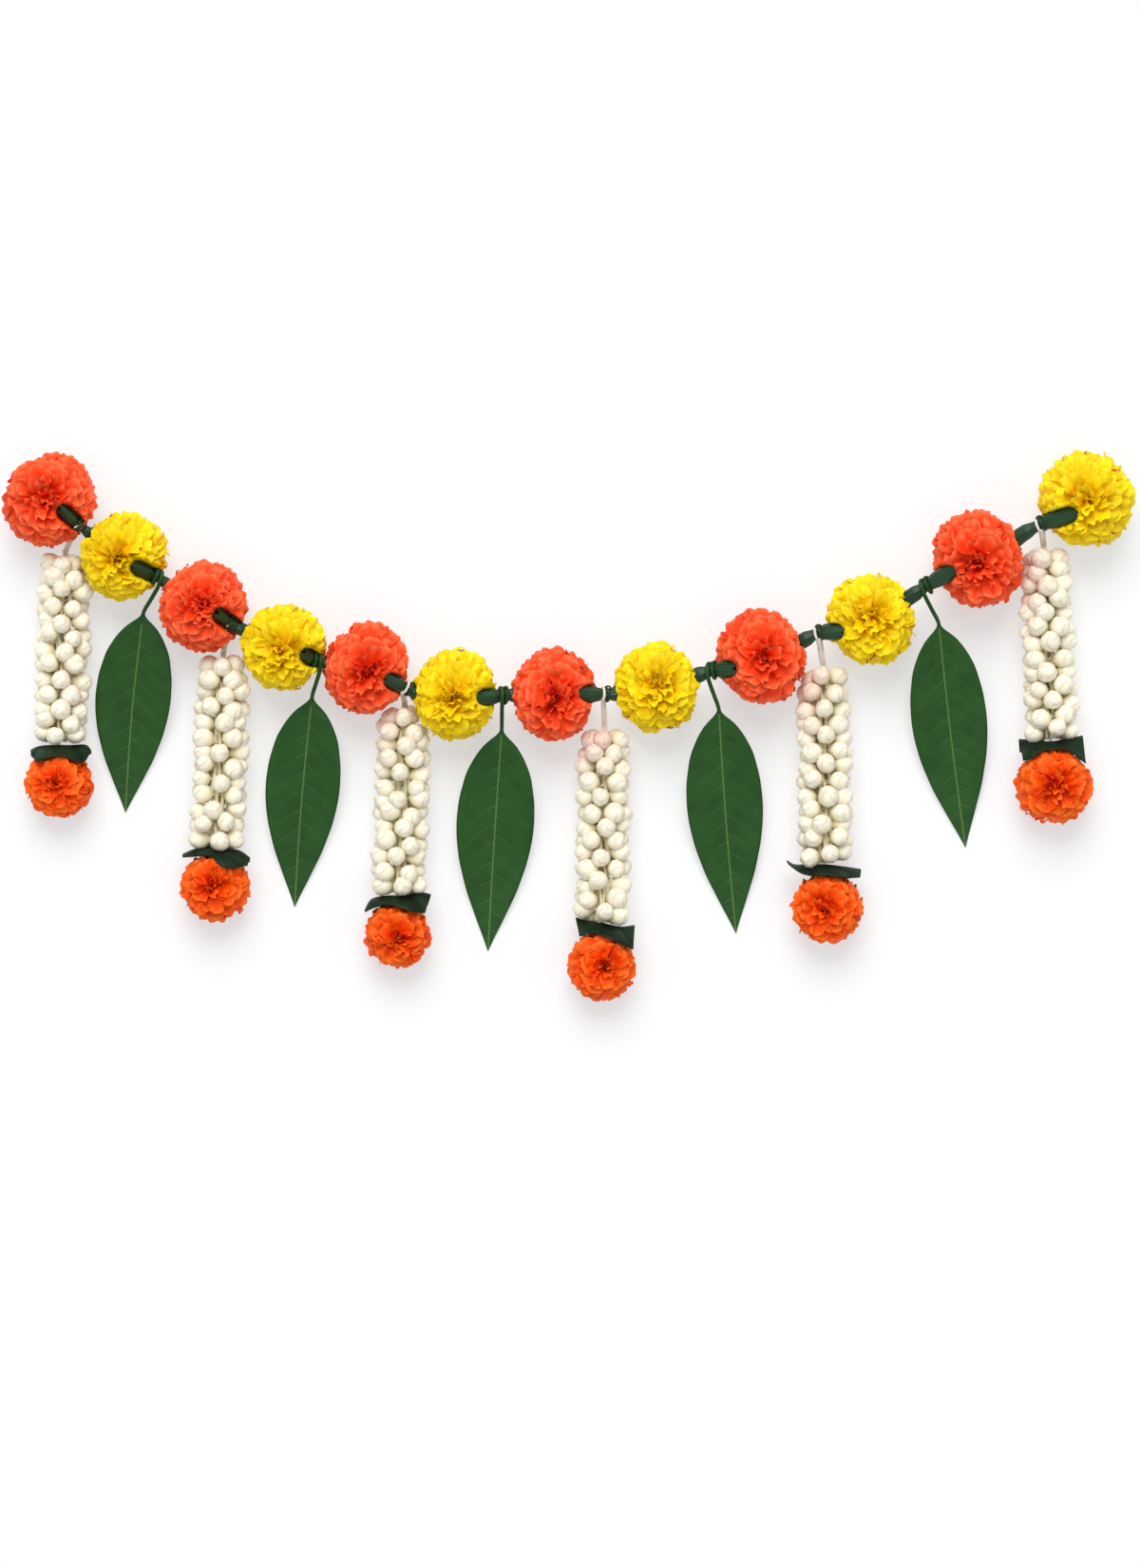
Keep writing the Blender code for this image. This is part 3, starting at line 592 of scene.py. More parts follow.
def petal_group(name, prefix, ruffle, waves, cup, fold, reflex, tooth, lobes, phase):
    """The petal shapes of one kind of flower. A pair holds a first value and its step."""
    group = new_group(name)
    for kind in range(PETAL_KINDS):
        third = kind % 3
        petal_shape(
            "%s_%d" % (prefix, kind), group, ruffle=ruffle[0] + ruffle[1] * third, waves=waves[third],
            cup=cup[0] + cup[1] * (kind % 2), fold=fold[third], reflex=reflex[0] + reflex[1] * kind,
            tooth=tooth, lobes=lobes[third], phase=phase * kind,
        )
    return group


petal_shapes = petal_group(
    "petal shapes", "petal", ruffle=(0.095, 0.020), waves=(1.7, 2.4, 2.0), cup=(0.10, 0.12),
    fold=(0.0, 0.03, 0.09), reflex=(0.10, 0.035), tooth=0.022, lobes=(2.0, 2.7, 2.3), phase=1.3,
)
end_petal_shapes = petal_group(
    "end petal shapes", "end_petal", ruffle=(0.105, 0.020), waves=(1.6, 2.2, 1.9), cup=(0.14, 0.14),
    fold=(0.06, 0.14, 0.0), reflex=(0.08, 0.030), tooth=0.024, lobes=(1.9, 2.6, 2.2), phase=1.9,
)
print("petal shapes:", 2 * PETAL_KINDS, "of", (PETAL_ROWS - 1) * (PETAL_COLUMNS - 1), "faces")

# %% [markdown]
# The tree below sets the shapes on a head. Its guide is a mesh of loose points, one for each petal,
# that carry how the petal is turned, how big it is, which shape it takes and how pale it is. After
# the petals are made real, the tree presses the head the way the real one is pressed: flat against
# the surface, against its neighbours, and down under the stalks that lie on it.

# %% Geometry Nodes: petals and buds on guide points
CURL_BACK = 0.88
DENT_RISE = 0.06


def new_tree(name, sockets):
    """A geometry tree with a Geometry input, the named inputs, and a Geometry output."""
    tree = bpy.data.node_groups.new(name, "GeometryNodeTree")
    tree.interface.new_socket("Geometry", in_out="INPUT", socket_type="NodeSocketGeometry")
    for label, kind in sockets.items():
        tree.interface.new_socket(label, in_out="INPUT", socket_type="NodeSocket" + kind)
    tree.interface.new_socket("Geometry", in_out="OUTPUT", socket_type="NodeSocketGeometry")
    return tree, add(tree, "NodeGroupInput").outputs


def made_real(guide, tree, values):
    """Runs a tree on a guide object and keeps the result as the object's plain mesh."""
    modifier = guide.modifiers.new(tree.name, "NODES")
    modifier.node_group = tree
    for item in tree.interface.items_tree:
        if item.in_out == "INPUT" and item.name in values:
            modifier[item.identifier] = values[item.name]
    graph = bpy.context.evaluated_depsgraph_get()
    mesh = bpy.data.meshes.new_from_object(
        guide.evaluated_get(graph), preserve_all_data_layers=True, depsgraph=graph,
    )
    guide.modifiers.clear()
    guide.data = mesh
    mesh.name = guide.name
    return guide


def joined(tree, geometries):
    join = add(tree, "GeometryNodeJoinGeometry")
    for geometry in geometries:
        tree.links.new(output(geometry), join.inputs[0])
    return join


def set_on_points(tree, given):
    """The shared start of the trees: shapes set on the guide points and made real."""
    shapes = add(tree, "GeometryNodeCollectionInfo", {
        "Collection": given["Shapes"], "Separate Children": True, "Reset Children": True,
    })
    turn, size, kind = (
        add(tree, "GeometryNodeInputNamedAttribute", {"Name": name}, data_type=form)
        for name, form in (("turn", "FLOAT_VECTOR"), ("size", "FLOAT_VECTOR"), ("kind", "INT"))
    )
    placed = add(tree, "GeometryNodeInstanceOnPoints", {
        "Points": given["Geometry"], "Instance": shapes, "Pick Instance": True, "Instance Index": kind,
        "Rotation": add(tree, "FunctionNodeEulerToRotation", {0: turn}), "Scale": size,
    })
    return add(tree, "GeometryNodeRealizeInstances", {"Geometry": placed})


def moved(tree, geometry, direction, distance):
    """Moves each point by a distance along a direction."""
    offset = vector_calc(tree, "SCALE", direction, distance)
    return add(tree, "GeometryNodeSetPosition", {"Geometry": geometry, "Offset": offset})


def at_height(tree, geometry, choose, limit):
    """Gives each point the higher (MAXIMUM) or lower (MINIMUM) of its height and the limit."""
    here = parts_of(tree, add(tree, "GeometryNodeInputPosition"))
    height = calc(tree, choose, here["Z"], limit)
    place = add(tree, "ShaderNodeCombineXYZ", {"X": here["X"], "Y": here["Y"], "Z": height})
    return add(tree, "GeometryNodeSetPosition", {"Geometry": geometry, "Position": place})


def nearest(tree, lines, place):
    """The nearest place on an object's edges, and how far it is."""
    found = add(tree, "GeometryNodeObjectInfo", {"Object": lines}, transform_space="RELATIVE")
    return add(tree, "GeometryNodeProximity", {
        "Geometry": found.outputs["Geometry"], "Sample Position": place,
    }, target_element="EDGES").outputs


def finished(tree, geometries, finish):
    """The shared end of the trees: joined, made real, smooth and painted."""
    real = add(tree, "GeometryNodeRealizeInstances", {"Geometry": joined(tree, geometries)})
    smooth = add(tree, "GeometryNodeSetShadeSmooth", {"Geometry": real, "Shade Smooth": True})
    painted = add(tree, "GeometryNodeSetMaterial", {"Geometry": smooth, "Material": finish})
    add(tree, "NodeGroupOutput", {0: painted})


def head_tree(pressed):
    """Petals round a core. A pressed head also gives way to its stalks and its neighbours."""
    sockets = {
        "Shapes": "Collection", "Centre": "Vector", "Radius": "Float", "Core": "Float",
        "Surface": "Float", "Finish": "Material",
    }
    if pressed:
        sockets.update({
            "String direction": "Vector", "Squash": "Float", "Dent lines": "Object",
            "Stalk lines": "Object", "Stalk radius": "Float", "Dent flat": "Float",
            "Dent width": "Float", "Wall A": "Vector", "Wall A outward": "Vector",
            "Wall B": "Vector", "Wall B outward": "Vector",
        })
    tree, given = new_tree("pressed head" if pressed else "free head", sockets)
    ball = add(tree, "GeometryNodeMeshIcoSphere", {"Radius": given["Core"], "Subdivisions": 3})
    core = add(tree, "GeometryNodeTransform", {"Geometry": ball, "Translation": given["Centre"]})
    body = joined(tree, [set_on_points(tree, given), core])

    # a head is kept round: what reaches past its radius curls back to it
    here = add(tree, "GeometryNodeInputPosition")
    arm = vector_calc(tree, "SUBTRACT", here, given["Centre"])
    over = calc(tree, "SUBTRACT", vector_calc(tree, "LENGTH", arm), given["Radius"])
    back = calc(tree, "MULTIPLY", calc(tree, "MAXIMUM", over), -CURL_BACK)
    body = moved(tree, body, vector_calc(tree, "NORMALIZE", arm), back)
    if pressed:

        # the head is slimmer along the string
        string = given["String direction"]
        along = vector_calc(tree, "DOT_PRODUCT", arm, string)
        body = moved(tree, body, string, calc(tree, "MULTIPLY", along, given["Squash"]))

        # under a stalk no petal rises above its underside, and beside it they rise steeply
        apart = parts_of(tree, here)
        plan = add(tree, "ShaderNodeCombineXYZ", {"X": apart["X"], "Y": apart["Y"]})
        near = nearest(tree, given["Dent lines"], plan)["Distance"]
        axis = nearest(tree, given["Stalk lines"], here)
        axis_height = parts_of(tree, axis["Position"])["Z"]
        under = calc(tree, "SUBTRACT", axis_height, given["Stalk radius"])
        rise = ranged(tree, near, given["Dent flat"], given["Dent width"], 0.0, DENT_RISE)
        body = at_height(tree, body, "MINIMUM", calc(tree, "ADD", under, rise))

        # what is still inside a stalk moves out to its skin
        away = vector_calc(tree, "NORMALIZE", vector_calc(tree, "SUBTRACT", here, axis["Position"]))
        missing = calc(tree, "SUBTRACT", given["Stalk radius"], axis["Distance"])
        body = moved(tree, body, away, calc(tree, "MAXIMUM", missing))

        # flat against the next heads
        for wall in ("Wall A", "Wall B"):
            outward = given[wall + " outward"]
            past = vector_calc(tree, "SUBTRACT", here, given[wall])
            depth = calc(tree, "MAXIMUM", vector_calc(tree, "DOT_PRODUCT", past, outward))
            body = moved(tree, body, outward, calc(tree, "MULTIPLY", depth, -1.0))
    body = at_height(tree, body, "MAXIMUM", given["Surface"])
    finished(tree, [body], given["Finish"])
    return tree


pressed_head = head_tree(True)
free_head = head_tree(False)
print("head tree:", len(pressed_head.nodes), "nodes")

# %% [markdown]
# Petal finish. A living ray petal is soft and slightly waxy: it scatters light inside. Its colour is
# painted deeper towards its root, as painted shade where it lies deep in the head, and lighter at its
# end, as a painted highlight where it catches the light. Fine veins run along it about every half
# millimetre; they are drawn here a little coarser, about 1 mm apart, so that they show.

# %% Petal finish
VEINS_ACROSS_PETAL = 9.0


def petal_finish(name, deep, main, light, through):
    """Living marigold petals: soft, faintly waxy, painted shade at the root, a painted highlight at the
    end.

    Light goes about a millimetre into their wet flesh, more in the thin yellow ones.
    """
    material, tree = new_material(name)
    # colour along each petal: painted shade towards its root, deep in the head, and a painted highlight
    # at its end
    colour = ramp(tree, note(tree, "reach"), (0.35, deep), (0.78, main), (1.0, light))
    stretched = vector_calc(tree, "MULTIPLY", uv_place(tree), (VEINS_ACROSS_PETAL, 0.8, 1.0))
    veins = noise(tree, stretched, 1.6, 2.0)
    vein_tone = ranged(tree, veins, 0.35, 0.65, 0.90, 1.08)
    tint_tone = ranged(tree, note(tree, "tint"), 0.0, 1.0, 0.86, 1.10)
    colour = toned(tree, colour, calc(tree, "MULTIPLY", vein_tone, tint_tone))
    surface(tree, colour, 0.55, 1.40, 0.22, (veins, 0.35, 0.0004), {
        "Subsurface Weight": through, "Subsurface Radius": (0.0012, 0.0012, 0.0005),
        "Subsurface Scale": 1.0,
    })
    return material


orange_petals = petal_finish("marigold_petal_orange", "#F43C10", "#FF4C1C", "#FF7448", 0.08)
yellow_petals = petal_finish("marigold_petal_yellow", "#FFC600", "#FFD802", "#FFE21E", 0.40)
deep_orange_petals = petal_finish("marigold_petal_deep_orange", "#F44600", "#FF5A08", "#FF7A24", 0.08)
print("petal finishes:", orange_petals.name, yellow_petals.name, deep_orange_petals.name)

# %% [markdown]
# Guide points for a head. The petals spread from the whorl, which faces up and a little towards the
# bottom of the picture, and they get wider and longer away from it. Each guide point is a petal's
# root, so that the petal's end reaches the head's radius. A few petals more stand before the mouth
# of a stalk and lean over it.

# %% Heads
PETALS_ON_HEAD = 146
PETALS_ON_END_HEAD = 96
# small curled petals that fill the middle of the whorl
CENTRE_PETALS = 8
GOLDEN_ANGLE = math.pi * (3 - math.sqrt(5))
HEAD_TILT = math.radians(8)
SIDE_TILT = 0.22
LAST_PETAL = math.radians(150)
WHORL = math.radians(34)
# a petal's width and length, as shares of its head's radius
HEAD_PETAL = (0.56, 0.58)
END_HEAD_PETAL = (0.64, 0.60)
# width, length and height of the whorl's petals, as shares of the others'
WHORL_PETAL = (0.62, 0.80, 1.5)
# how much closer the petals stand in the whorl, as a power of their place in the row
CROWDING = 1.10
# how far petals stray, in radians: from the whorl and round it, in lying back, and how far they
# turn about their length, in the whorl and outside it, and tip sideways
STRAY_FROM_WHORL = 0.06
STRAY_ROUND = 0.15
STRAY_LYING = 0.14
WHORL_TWIST = 1.2
TWIST = 0.24
TIP = 0.20
# as shares of the head's radius: where petals end, and the centre petals' spread, root and sizes
PETAL_END = 1.05
CENTRE_SPREAD = 0.05
CENTRE_ROOT = 0.52
CENTRE_WIDE = 0.32
CENTRE_LONG = (0.36, 0.46)
CENTRE_HIGH = 0.42
CENTRE_TWIST = 0.7
CORE_SHARE = 0.60
ROUND_SHARE = 1.055
# how far each flower has opened, as a share of the size of its solid
HEAD_OPENING = (1.0, 1.01, 1.0, 1.01, 1.01, 1.03, 1.03, 1.005, 1.012, 1.0, 0.995, 0.99)
END_OPENING = (0.98, 1.027, 0.98, 0.995, 1.0, 1.035)
SURFACE = 0.8
# the petals before a stalk's mouth: how many, their lean over it, and their sizes and places in mm
LIP_PETALS = 7
LIP_LEAN = 0.95
LIP_SPREAD = 16.0
LIP_BACK = 6.6
LIP_WIDE = 11.0
LIP_LONG = 17.6
LIP_TWIST = 0.35
STRAY_BACK = 0.8
# how far a petal lies back, by its angle from the whorl, both in radians
LYING = ((0.0, -0.10), (0.40, 0.10), (0.85, 0.62), (1.50, 0.84), (2.70, 0.85))
# how a stalk presses on its head, in mm: the dent's half width at its bottom and where it ends, how
# far from the mouth it starts and the push to the skin starts, and the radius that is kept free
DENT_FLAT = 6.0
DENT_WIDTH = 13.5
DENT_FROM_MOUTH = 8.6
AXIS_FROM_MOUTH = 7.7
FREE_RADIUS = 6.6
# the dent's end, as a share of the way from mouth to waist; the third stalk lies on beyond its waist
DENT_END = 0.80
LONG_DENTS = {2: 1.35}
# the flat sides where heads touch are this far inside, and a free side is this share of its radius
WALL_SLACK = 0.3
FREE_SIDE = 1.06
HEAD_SEED = 100
END_HEAD_SEED = 200
LIP_SEED = 600
# what the trees need for a while and the finished part doesn't
helpers = []


def guide_points(name, rows):
    """A mesh of loose points with the turn, size, kind and tint of what is set on each."""
    mesh = new_mesh(name, [metres(row[0]) for row in rows], [], [])
    forms = (("turn", "FLOAT_VECTOR"), ("size", "FLOAT_VECTOR"), ("kind", "INT"), ("tint", "FLOAT"))
    for label, form in forms:
        mesh.attributes.new(label, form, "POINT")
    notes = mesh.attributes
    for k, (_, basis, scale, which, pale) in enumerate(rows):
        notes["turn"].data[k].vector = basis.to_euler("XYZ")
        notes["size"].data[k].vector = Vector(scale) * MM
        notes["kind"].data[k].value = which
        notes["tint"].data[k].value = pale
    return link(name, mesh)


def stray(chance, most):
    return chance.uniform(-most, most)


def turned(basis, angle, axis):
    return basis @ Matrix.Rotation(angle, 3, axis)


def upright(side, grow):
    """A petal's turn, from the direction across it and the direction it grows in."""
    return Matrix((side, grow, side.cross(grow))).transposed()


def petal_rows(centre, radius, count, seed, shares):
    """Where each petal of a head goes: (root, turn, size, kind, tint)."""
    width, length = shares
    chance = random.Random(seed)
    lean = Matrix.Rotation(HEAD_TILT * chance.uniform(-0.6, 2.0), 3, "X")
    lean = Matrix.Rotation(stray(chance, SIDE_TILT), 3, "Y") @ lean
    start = chance.uniform(0, FULL_TURN)
    rows = []
    for k in range(count):
        share = ((k + 0.5) / count) ** CROWDING
        theta = math.acos(1 - share * (1 - math.cos(LAST_PETAL))) + stray(chance, STRAY_FROM_WHORL)
        phi = start + k * GOLDEN_ANGLE + stray(chance, STRAY_ROUND)
        round_x, round_y = math.cos(phi), math.sin(phi)
        outward = Vector((math.sin(theta) * round_x, math.sin(theta) * round_y, math.cos(theta)))
        away = Vector((math.cos(theta) * round_x, math.cos(theta) * round_y, -math.sin(theta)))
        grow = on_circle(outward, away, between(LYING, theta) + stray(chance, STRAY_LYING))
        basis = lean @ upright(Vector((round_y, -round_x, 0)), grow)
        # the whorl's small petals curl every way, the others face the whorl
        in_whorl = theta < WHORL
        basis = turned(basis, stray(chance, WHORL_TWIST if in_whorl else TWIST), "Y")
        basis = turned(basis, stray(chance, TIP), "Z")
        whorl = WHORL_PETAL if in_whorl else (1.0, 1.0, 1.0)
        wide = radius * width * whorl[0] * chance.uniform(0.82, 1.18)
        long = radius * length * whorl[1] * chance.uniform(0.92, 1.06)
        end = radius * (PETAL_END + chance.uniform(-0.05, 0.04))
        root = centre + lean @ (outward * end - grow * long)
        size = (wide, long, wide * whorl[2])
        rows.append((root, basis, size, chance.randrange(PETAL_KINDS), chance.random()))
    for k in range(CENTRE_PETALS):
        phi = start + k * GOLDEN_ANGLE
        away = Vector((math.cos(phi), math.sin(phi), 0))
        grow = (UP + away * chance.uniform(-0.30, 0.40)).normalized()
        basis = lean @ upright(Vector((away.y, -away.x, 0)), grow)
        basis = turned(basis, stray(chance, CENTRE_TWIST), "Y")
        spread = away * (CENTRE_SPREAD * math.sqrt(k) * radius)
        root = centre + lean @ (spread + UP * (CENTRE_ROOT * radius))
        size = (CENTRE_WIDE * radius, chance.uniform(*CENTRE_LONG) * radius, CENTRE_HIGH * radius)
        rows.append((root, basis, size, chance.randrange(PETAL_KINDS), chance.random()))
    return rows


def lip_rows(stalk):
    """Petals that stand before a stalk's mouth and lean over its rim, so that it comes out of them."""
    chance = random.Random(LIP_SEED + stalk)
    mouth, waist, _ = stalk_points(stalk)
    mouth = mouth + (mouth - waist).normalized() * MOUTH_REACHES[stalk]
    out = (flat(waist) - flat(mouth)).normalized()
    side = Vector((out.y, -out.x, 0))
    rows = []
    for k in range(LIP_PETALS):
        grow = (out * (LIP_LEAN + chance.uniform(-0.10, 0.14)) + UP).normalized()
        basis = turned(upright(side, grow), stray(chance, LIP_TWIST), "Y")
        basis = turned(basis, stray(chance, TIP), "Z")
        across = LIP_SPREAD * (k / (LIP_PETALS - 1) - 0.5)
        root = mouth - out * (LIP_BACK + stray(chance, STRAY_BACK)) + side * across
        size = (LIP_WIDE * chance.uniform(0.85, 1.15), LIP_LONG * chance.uniform(0.95, 1.05), LIP_WIDE)
        rows.append((root, basis, size, chance.randrange(PETAL_KINDS), chance.random()))
    return rows


def line_object(name, lines):
    """Loose edges, for the tree to measure distances from."""
    verts = [metres(point) for line in lines for point in line]
    edges = []
    first = 0
    for line in lines:
        edges += [(first + k, first + k + 1) for k in range(len(line) - 1)]
        first += len(line)
    helpers.append(link(name, new_mesh(name, verts, edges, [])))
    return helpers[-1]


def stalk_lines(index, near_stalks):
    """Where stalks press on a head: the lines of their dents on the plan, and their axes."""
    dents = []
    axes = []
    for stalk in near_stalks:
        wide, waist, narrow = stalk_points(stalk)
        length = (waist - wide).length
        first = min(DENT_FROM_MOUTH / length, DENT_END - 0.05)
        last = LONG_DENTS.get(stalk, DENT_END)
        dents.append([flat(wide.lerp(waist, first)), flat(wide.lerp(waist, last))])
        axes.append([wide.lerp(waist, min(AXIS_FROM_MOUTH / length, DENT_END)), waist, narrow])
    return (
        line_object("dent_lines_%02d" % (index + 1), dents),
        line_object("stalk_lines_%02d" % (index + 1), axes),
    )


def wall(index, other):
    """The flat side of a head that its neighbour presses, as a place and the way out."""
    centre = head_centre(index)
    own = MARIGOLDS[index][3]
    if 0 <= other < len(MARIGOLDS):
        gap = head_centre(other) - centre
        outward = gap.normalized()
        place = centre + gap * (own / (own + MARIGOLDS[other][3])) - outward * WALL_SLACK
    else:
        outward = string_direction(index) * (1 if other > index else -1)
        place = centre + outward * (own * FREE_SIDE)
    return metres(place), outward


for index, (_, _, across, along_radius) in enumerate(MARIGOLDS):
    centre = head_centre(index)
    opened = HEAD_OPENING[index]
    near_stalks = [stalk for stalk in (index - 1, index) if 0 <= stalk < len(STALKS)]
    dents, axes = stalk_lines(index, near_stalks)
    rows = petal_rows(centre, across * opened, PETALS_ON_HEAD, HEAD_SEED + index, HEAD_PETAL)
    for stalk in near_stalks:
        if home_head(stalk) == index:
            rows += lip_rows(stalk)
    wall_a, outward_a = wall(index, index - 1)
    wall_b, outward_b = wall(index, index + 1)
    colour = "orange" if index % 2 == 0 else "yellow"
    head = made_real(guide_points("marigold_head_%02d" % (index + 1), rows), pressed_head, {
        "Shapes": petal_shapes, "Centre": metres(centre), "Core": across * CORE_SHARE * MM,
        "Radius": across * (ROUND_SHARE * opened) * MM, "Surface": SURFACE * MM,
        "Finish": orange_petals if colour == "orange" else yellow_petals,
        "String direction": string_direction(index), "Squash": along_radius / across - 1,
        "Dent lines": dents, "Stalk lines": axes, "Stalk radius": FREE_RADIUS * MM,
        "Dent flat": DENT_FLAT * MM, "Dent width": DENT_WIDTH * MM,
        "Wall A": wall_a, "Wall A outward": outward_a, "Wall B": wall_b, "Wall B outward": outward_b,
    })
    count = hand_over(head, "marigold_" + colour, "marigold_%02d" % (index + 1))
print("triangles in the last head:", count)

for tassel, (_, _, _, radius) in enumerate(TASSELS):
    centre = tassel_axis(tassel)[3]
    opened = END_OPENING[tassel]
    seed = END_HEAD_SEED + tassel
    rows = petal_rows(centre, radius * opened, PETALS_ON_END_HEAD, seed, END_HEAD_PETAL)
    head = made_real(guide_points("end_marigold_head_%d" % (tassel + 1), rows), free_head, {
        "Shapes": end_petal_shapes, "Centre": metres(centre), "Core": radius * CORE_SHARE * MM,
        "Radius": radius * (ROUND_SHARE * opened) * MM, "Surface": SURFACE * MM,
        "Finish": deep_orange_petals,
    })
    count = hand_over(head, "marigold_deep_orange", "end_marigold_%d" % (tassel + 1))
print("triangles in the last end head:", count)

# %% [markdown]
# Between the heads, a strip of green leaf is rolled into a tube and tied at its waist, so it is
# pleated there and flares to a ragged mouth that lies on one head. A swept skin of rings makes it:
# the pleats are a ripple in the radius, the mouth is a zigzag in the last rings, and an inner wall
# turns back into the tube so that its mouth is dark inside.

# %% Stalk finish


def leaf_strip_finish():
    """Rolled strip of a glossy leaf: satin cuticle, fibres every 0.7 mm along it."""
    material, tree = new_material("rolled_leaf_strip")
    fibres = noise(tree, vector_calc(tree, "MULTIPLY", uv_place(tree), (56.0, 2.2, 1.0)), 1.0, 3.0, 0.55)
    patches = noise(tree, object_place(tree), 90.0, 3.0)
    colour = ramp(tree, fibres, (0.34, "#0D2814"), (0.70, "#234E2E"))
    colour = toned(tree, colour, ranged(tree, patches, 0.0, 1.0, 0.80, 1.15))
    surface(tree, colour, 0.34, 1.45, 0.42, (fibres, 0.40, 0.0004))
    return material


leaf_strip = leaf_strip_finish()
print("stalk finish:", leaf_strip.name)

# %% Stalks
STALK_PROFILE = (
    # place along it, 0 at the mouth, 1 at the waist and 2 at the narrow end, and its radius
    (0.0, 7.5), (0.30, 7.1), (0.66, 6.9), (0.86, 5.6), (1.0, 3.9), (1.14, 4.7), (1.40, 6.3), (2.0, 6.8),
)
STALK_SEED = 300
STALK_RINGS = 44
STALK_SIDES = 54
PLEATS = 9
MOUTH_TEETH = 6
MOUTH_TOOTH = 2.3
MOUTH_FROM = 0.40
MOUTH_DEPTH = 6.0
WALL = 0.9
BAND_ALONG = 2.9
# bands and knots take one place of the finish, in the middle of the UV map
BAND_MARK = (0.5, 0.5)
BAND_RINGS = 48
BAND_SIDES = 10
EAR_RINGS = 9
EAR_SIDES = 8
EAR_RADIUS = 0.75
# on these two waists the band is wound twice, over the loops of the tassel thread
BANDS_OVER_THREAD = (0, 2)
THREAD_LOOP = 4.2
# turns, pitch and radius of a band, and of one that is wound twice
BAND = (1.1, 1.2, 1.15)
TWICE_WOUND = (2.2, 2.4, 1.35)


def stalk_rings(stalk):
    """Rings of a rolled strip from its narrow end to its mouth, and back down inside."""
    wide, waist, narrow = stalk_points(stalk)
    chance = random.Random(STALK_SEED + stalk)
    turn = chance.uniform(0, FULL_TURN)
    wide = wide + (wide - waist).normalized() * MOUTH_REACHES[stalk]
    line = smooth_steps([narrow, waist, wide], STALK_RINGS)
    rings = []
    for r, middle in enumerate(line):
        place = 2 - 2 * r / (STALK_RINGS - 1)
        direction = heading(line, r)
        side, lift = side_and_lift(direction)
        pull = 1 - 0.75 * min(1.0, abs(place - 1) / 0.75)
        dip = 0.05 + 0.16 * pull
        ring = []
        for k in range(STALK_SIDES):
            angle = FULL_TURN * k / STALK_SIDES
            ridge = abs(math.sin(PLEATS * angle / 2 + turn + 0.4 * math.sin(2 * angle)))
            radius = STALK_SIZES[stalk] * between(STALK_PROFILE, place) * (1 - dip * (1 - ridge ** 0.55))
            radius *= 1 + 0.03 * math.sin(3 * angle + 5 * place + turn)
            tooth = 0.0
            if place < MOUTH_FROM:
                zigzag = abs((MOUTH_TEETH * k / STALK_SIDES + turn) % 1.0 - 0.5) * 4 - 1
                zigzag *= 1 + 0.35 * math.sin(angle * 2 + turn)
                tooth = MOUTH_TOOTH * zigzag * (1 - place / MOUTH_FROM) ** 1.5
            ring.append(middle + direction * tooth + on_circle(side, lift, angle) * radius)
        rings.append(ring)
    mouth = rings[-1]
    for depth in (0.0, 0.45, 1.0):
        ring = []
        for point in mouth:
            off = point - middle
            axial = off.dot(direction)
            radial = off - direction * axial
            inner = radial * (1 - (WALL + 1.2 * depth) / radial.length)
            ring.append(middle + direction * (axial * (1 - depth) - MOUTH_DEPTH * depth) + inner)
        rings.append(ring)
    return rings


def add_band(bm, stalk):
    """A thin strip of leaf tied round the waist, with two small ears of its knot on top."""
    waist, along, up_swag, out = waist_frame(stalk)
    covers = stalk in BANDS_OVER_THREAD
    shift = BAND_ALONG if stalk % 2 == 0 and not covers else 0.0
    turns, pitch, thick = TWICE_WOUND if covers else BAND
    radius = STALK_SIZES[stalk] * between(STALK_PROFILE, 1.12) + thick * 0.4
    if covers:
        radius = THREAD_LOOP + 0.5
    middle = waist + along * shift
    line = []
    for k in range(BAND_RINGS):
        share = k / (BAND_RINGS - 1)
        angle = math.radians(80) - FULL_TURN * turns * share
        place = middle + along * (turns * pitch * (share - 0.5))
        line.append(place + on_circle(up_swag, out, angle) * (radius + 0.4 * share))
    add_tube(bm, line, [thick] * BAND_RINGS, BAND_SIDES, along, BAND_MARK)
    top = middle + out * (radius * 0.60) + up_swag * (radius * 0.80)
    lean = (up_swag + out * 0.3).normalized()
    for way in (-1, 1):
        ear = []
        for k in range(EAR_RINGS):
            angle = math.pi * k / (EAR_RINGS - 1)
            bow = along * (way * 2.0 * math.sin(angle))
            ear.append(top + bow + lean * (1.3 * (1 - math.cos(angle))))
        add_tube(bm, ear, [EAR_RADIUS] * EAR_RINGS, EAR_SIDES, out, BAND_MARK)


for stalk in range(len(STALKS)):
    bm = new_bmesh()
    add_rings(bm, [[metres(point) for point in ring] for ring in stalk_rings(stalk)])
    add_band(bm, stalk)
    piece = closed_shape(bm, "rolled_stalk_%02d" % (stalk + 1), leaf_strip)
    count = hand_over(piece, "stalk_green", "stalk_%02d" % (stalk + 1))
print("triangles in a stalk:", count)

# %% [markdown]
# A mango leaf is a leathery blade, folded a little along its midrib and waved at its margin. Seen
# from above the midrib is a pale line and some ten pairs of side veins arch from it towards the
# margin. Two faces of quads, a millimetre apart, make the blade; the veins are drawn by the finish
# and pressed into the surface as well. The leaf stalk winds round the waist and runs into it.

# %% Mango leaf finish
VEIN_PITCH = 15.0


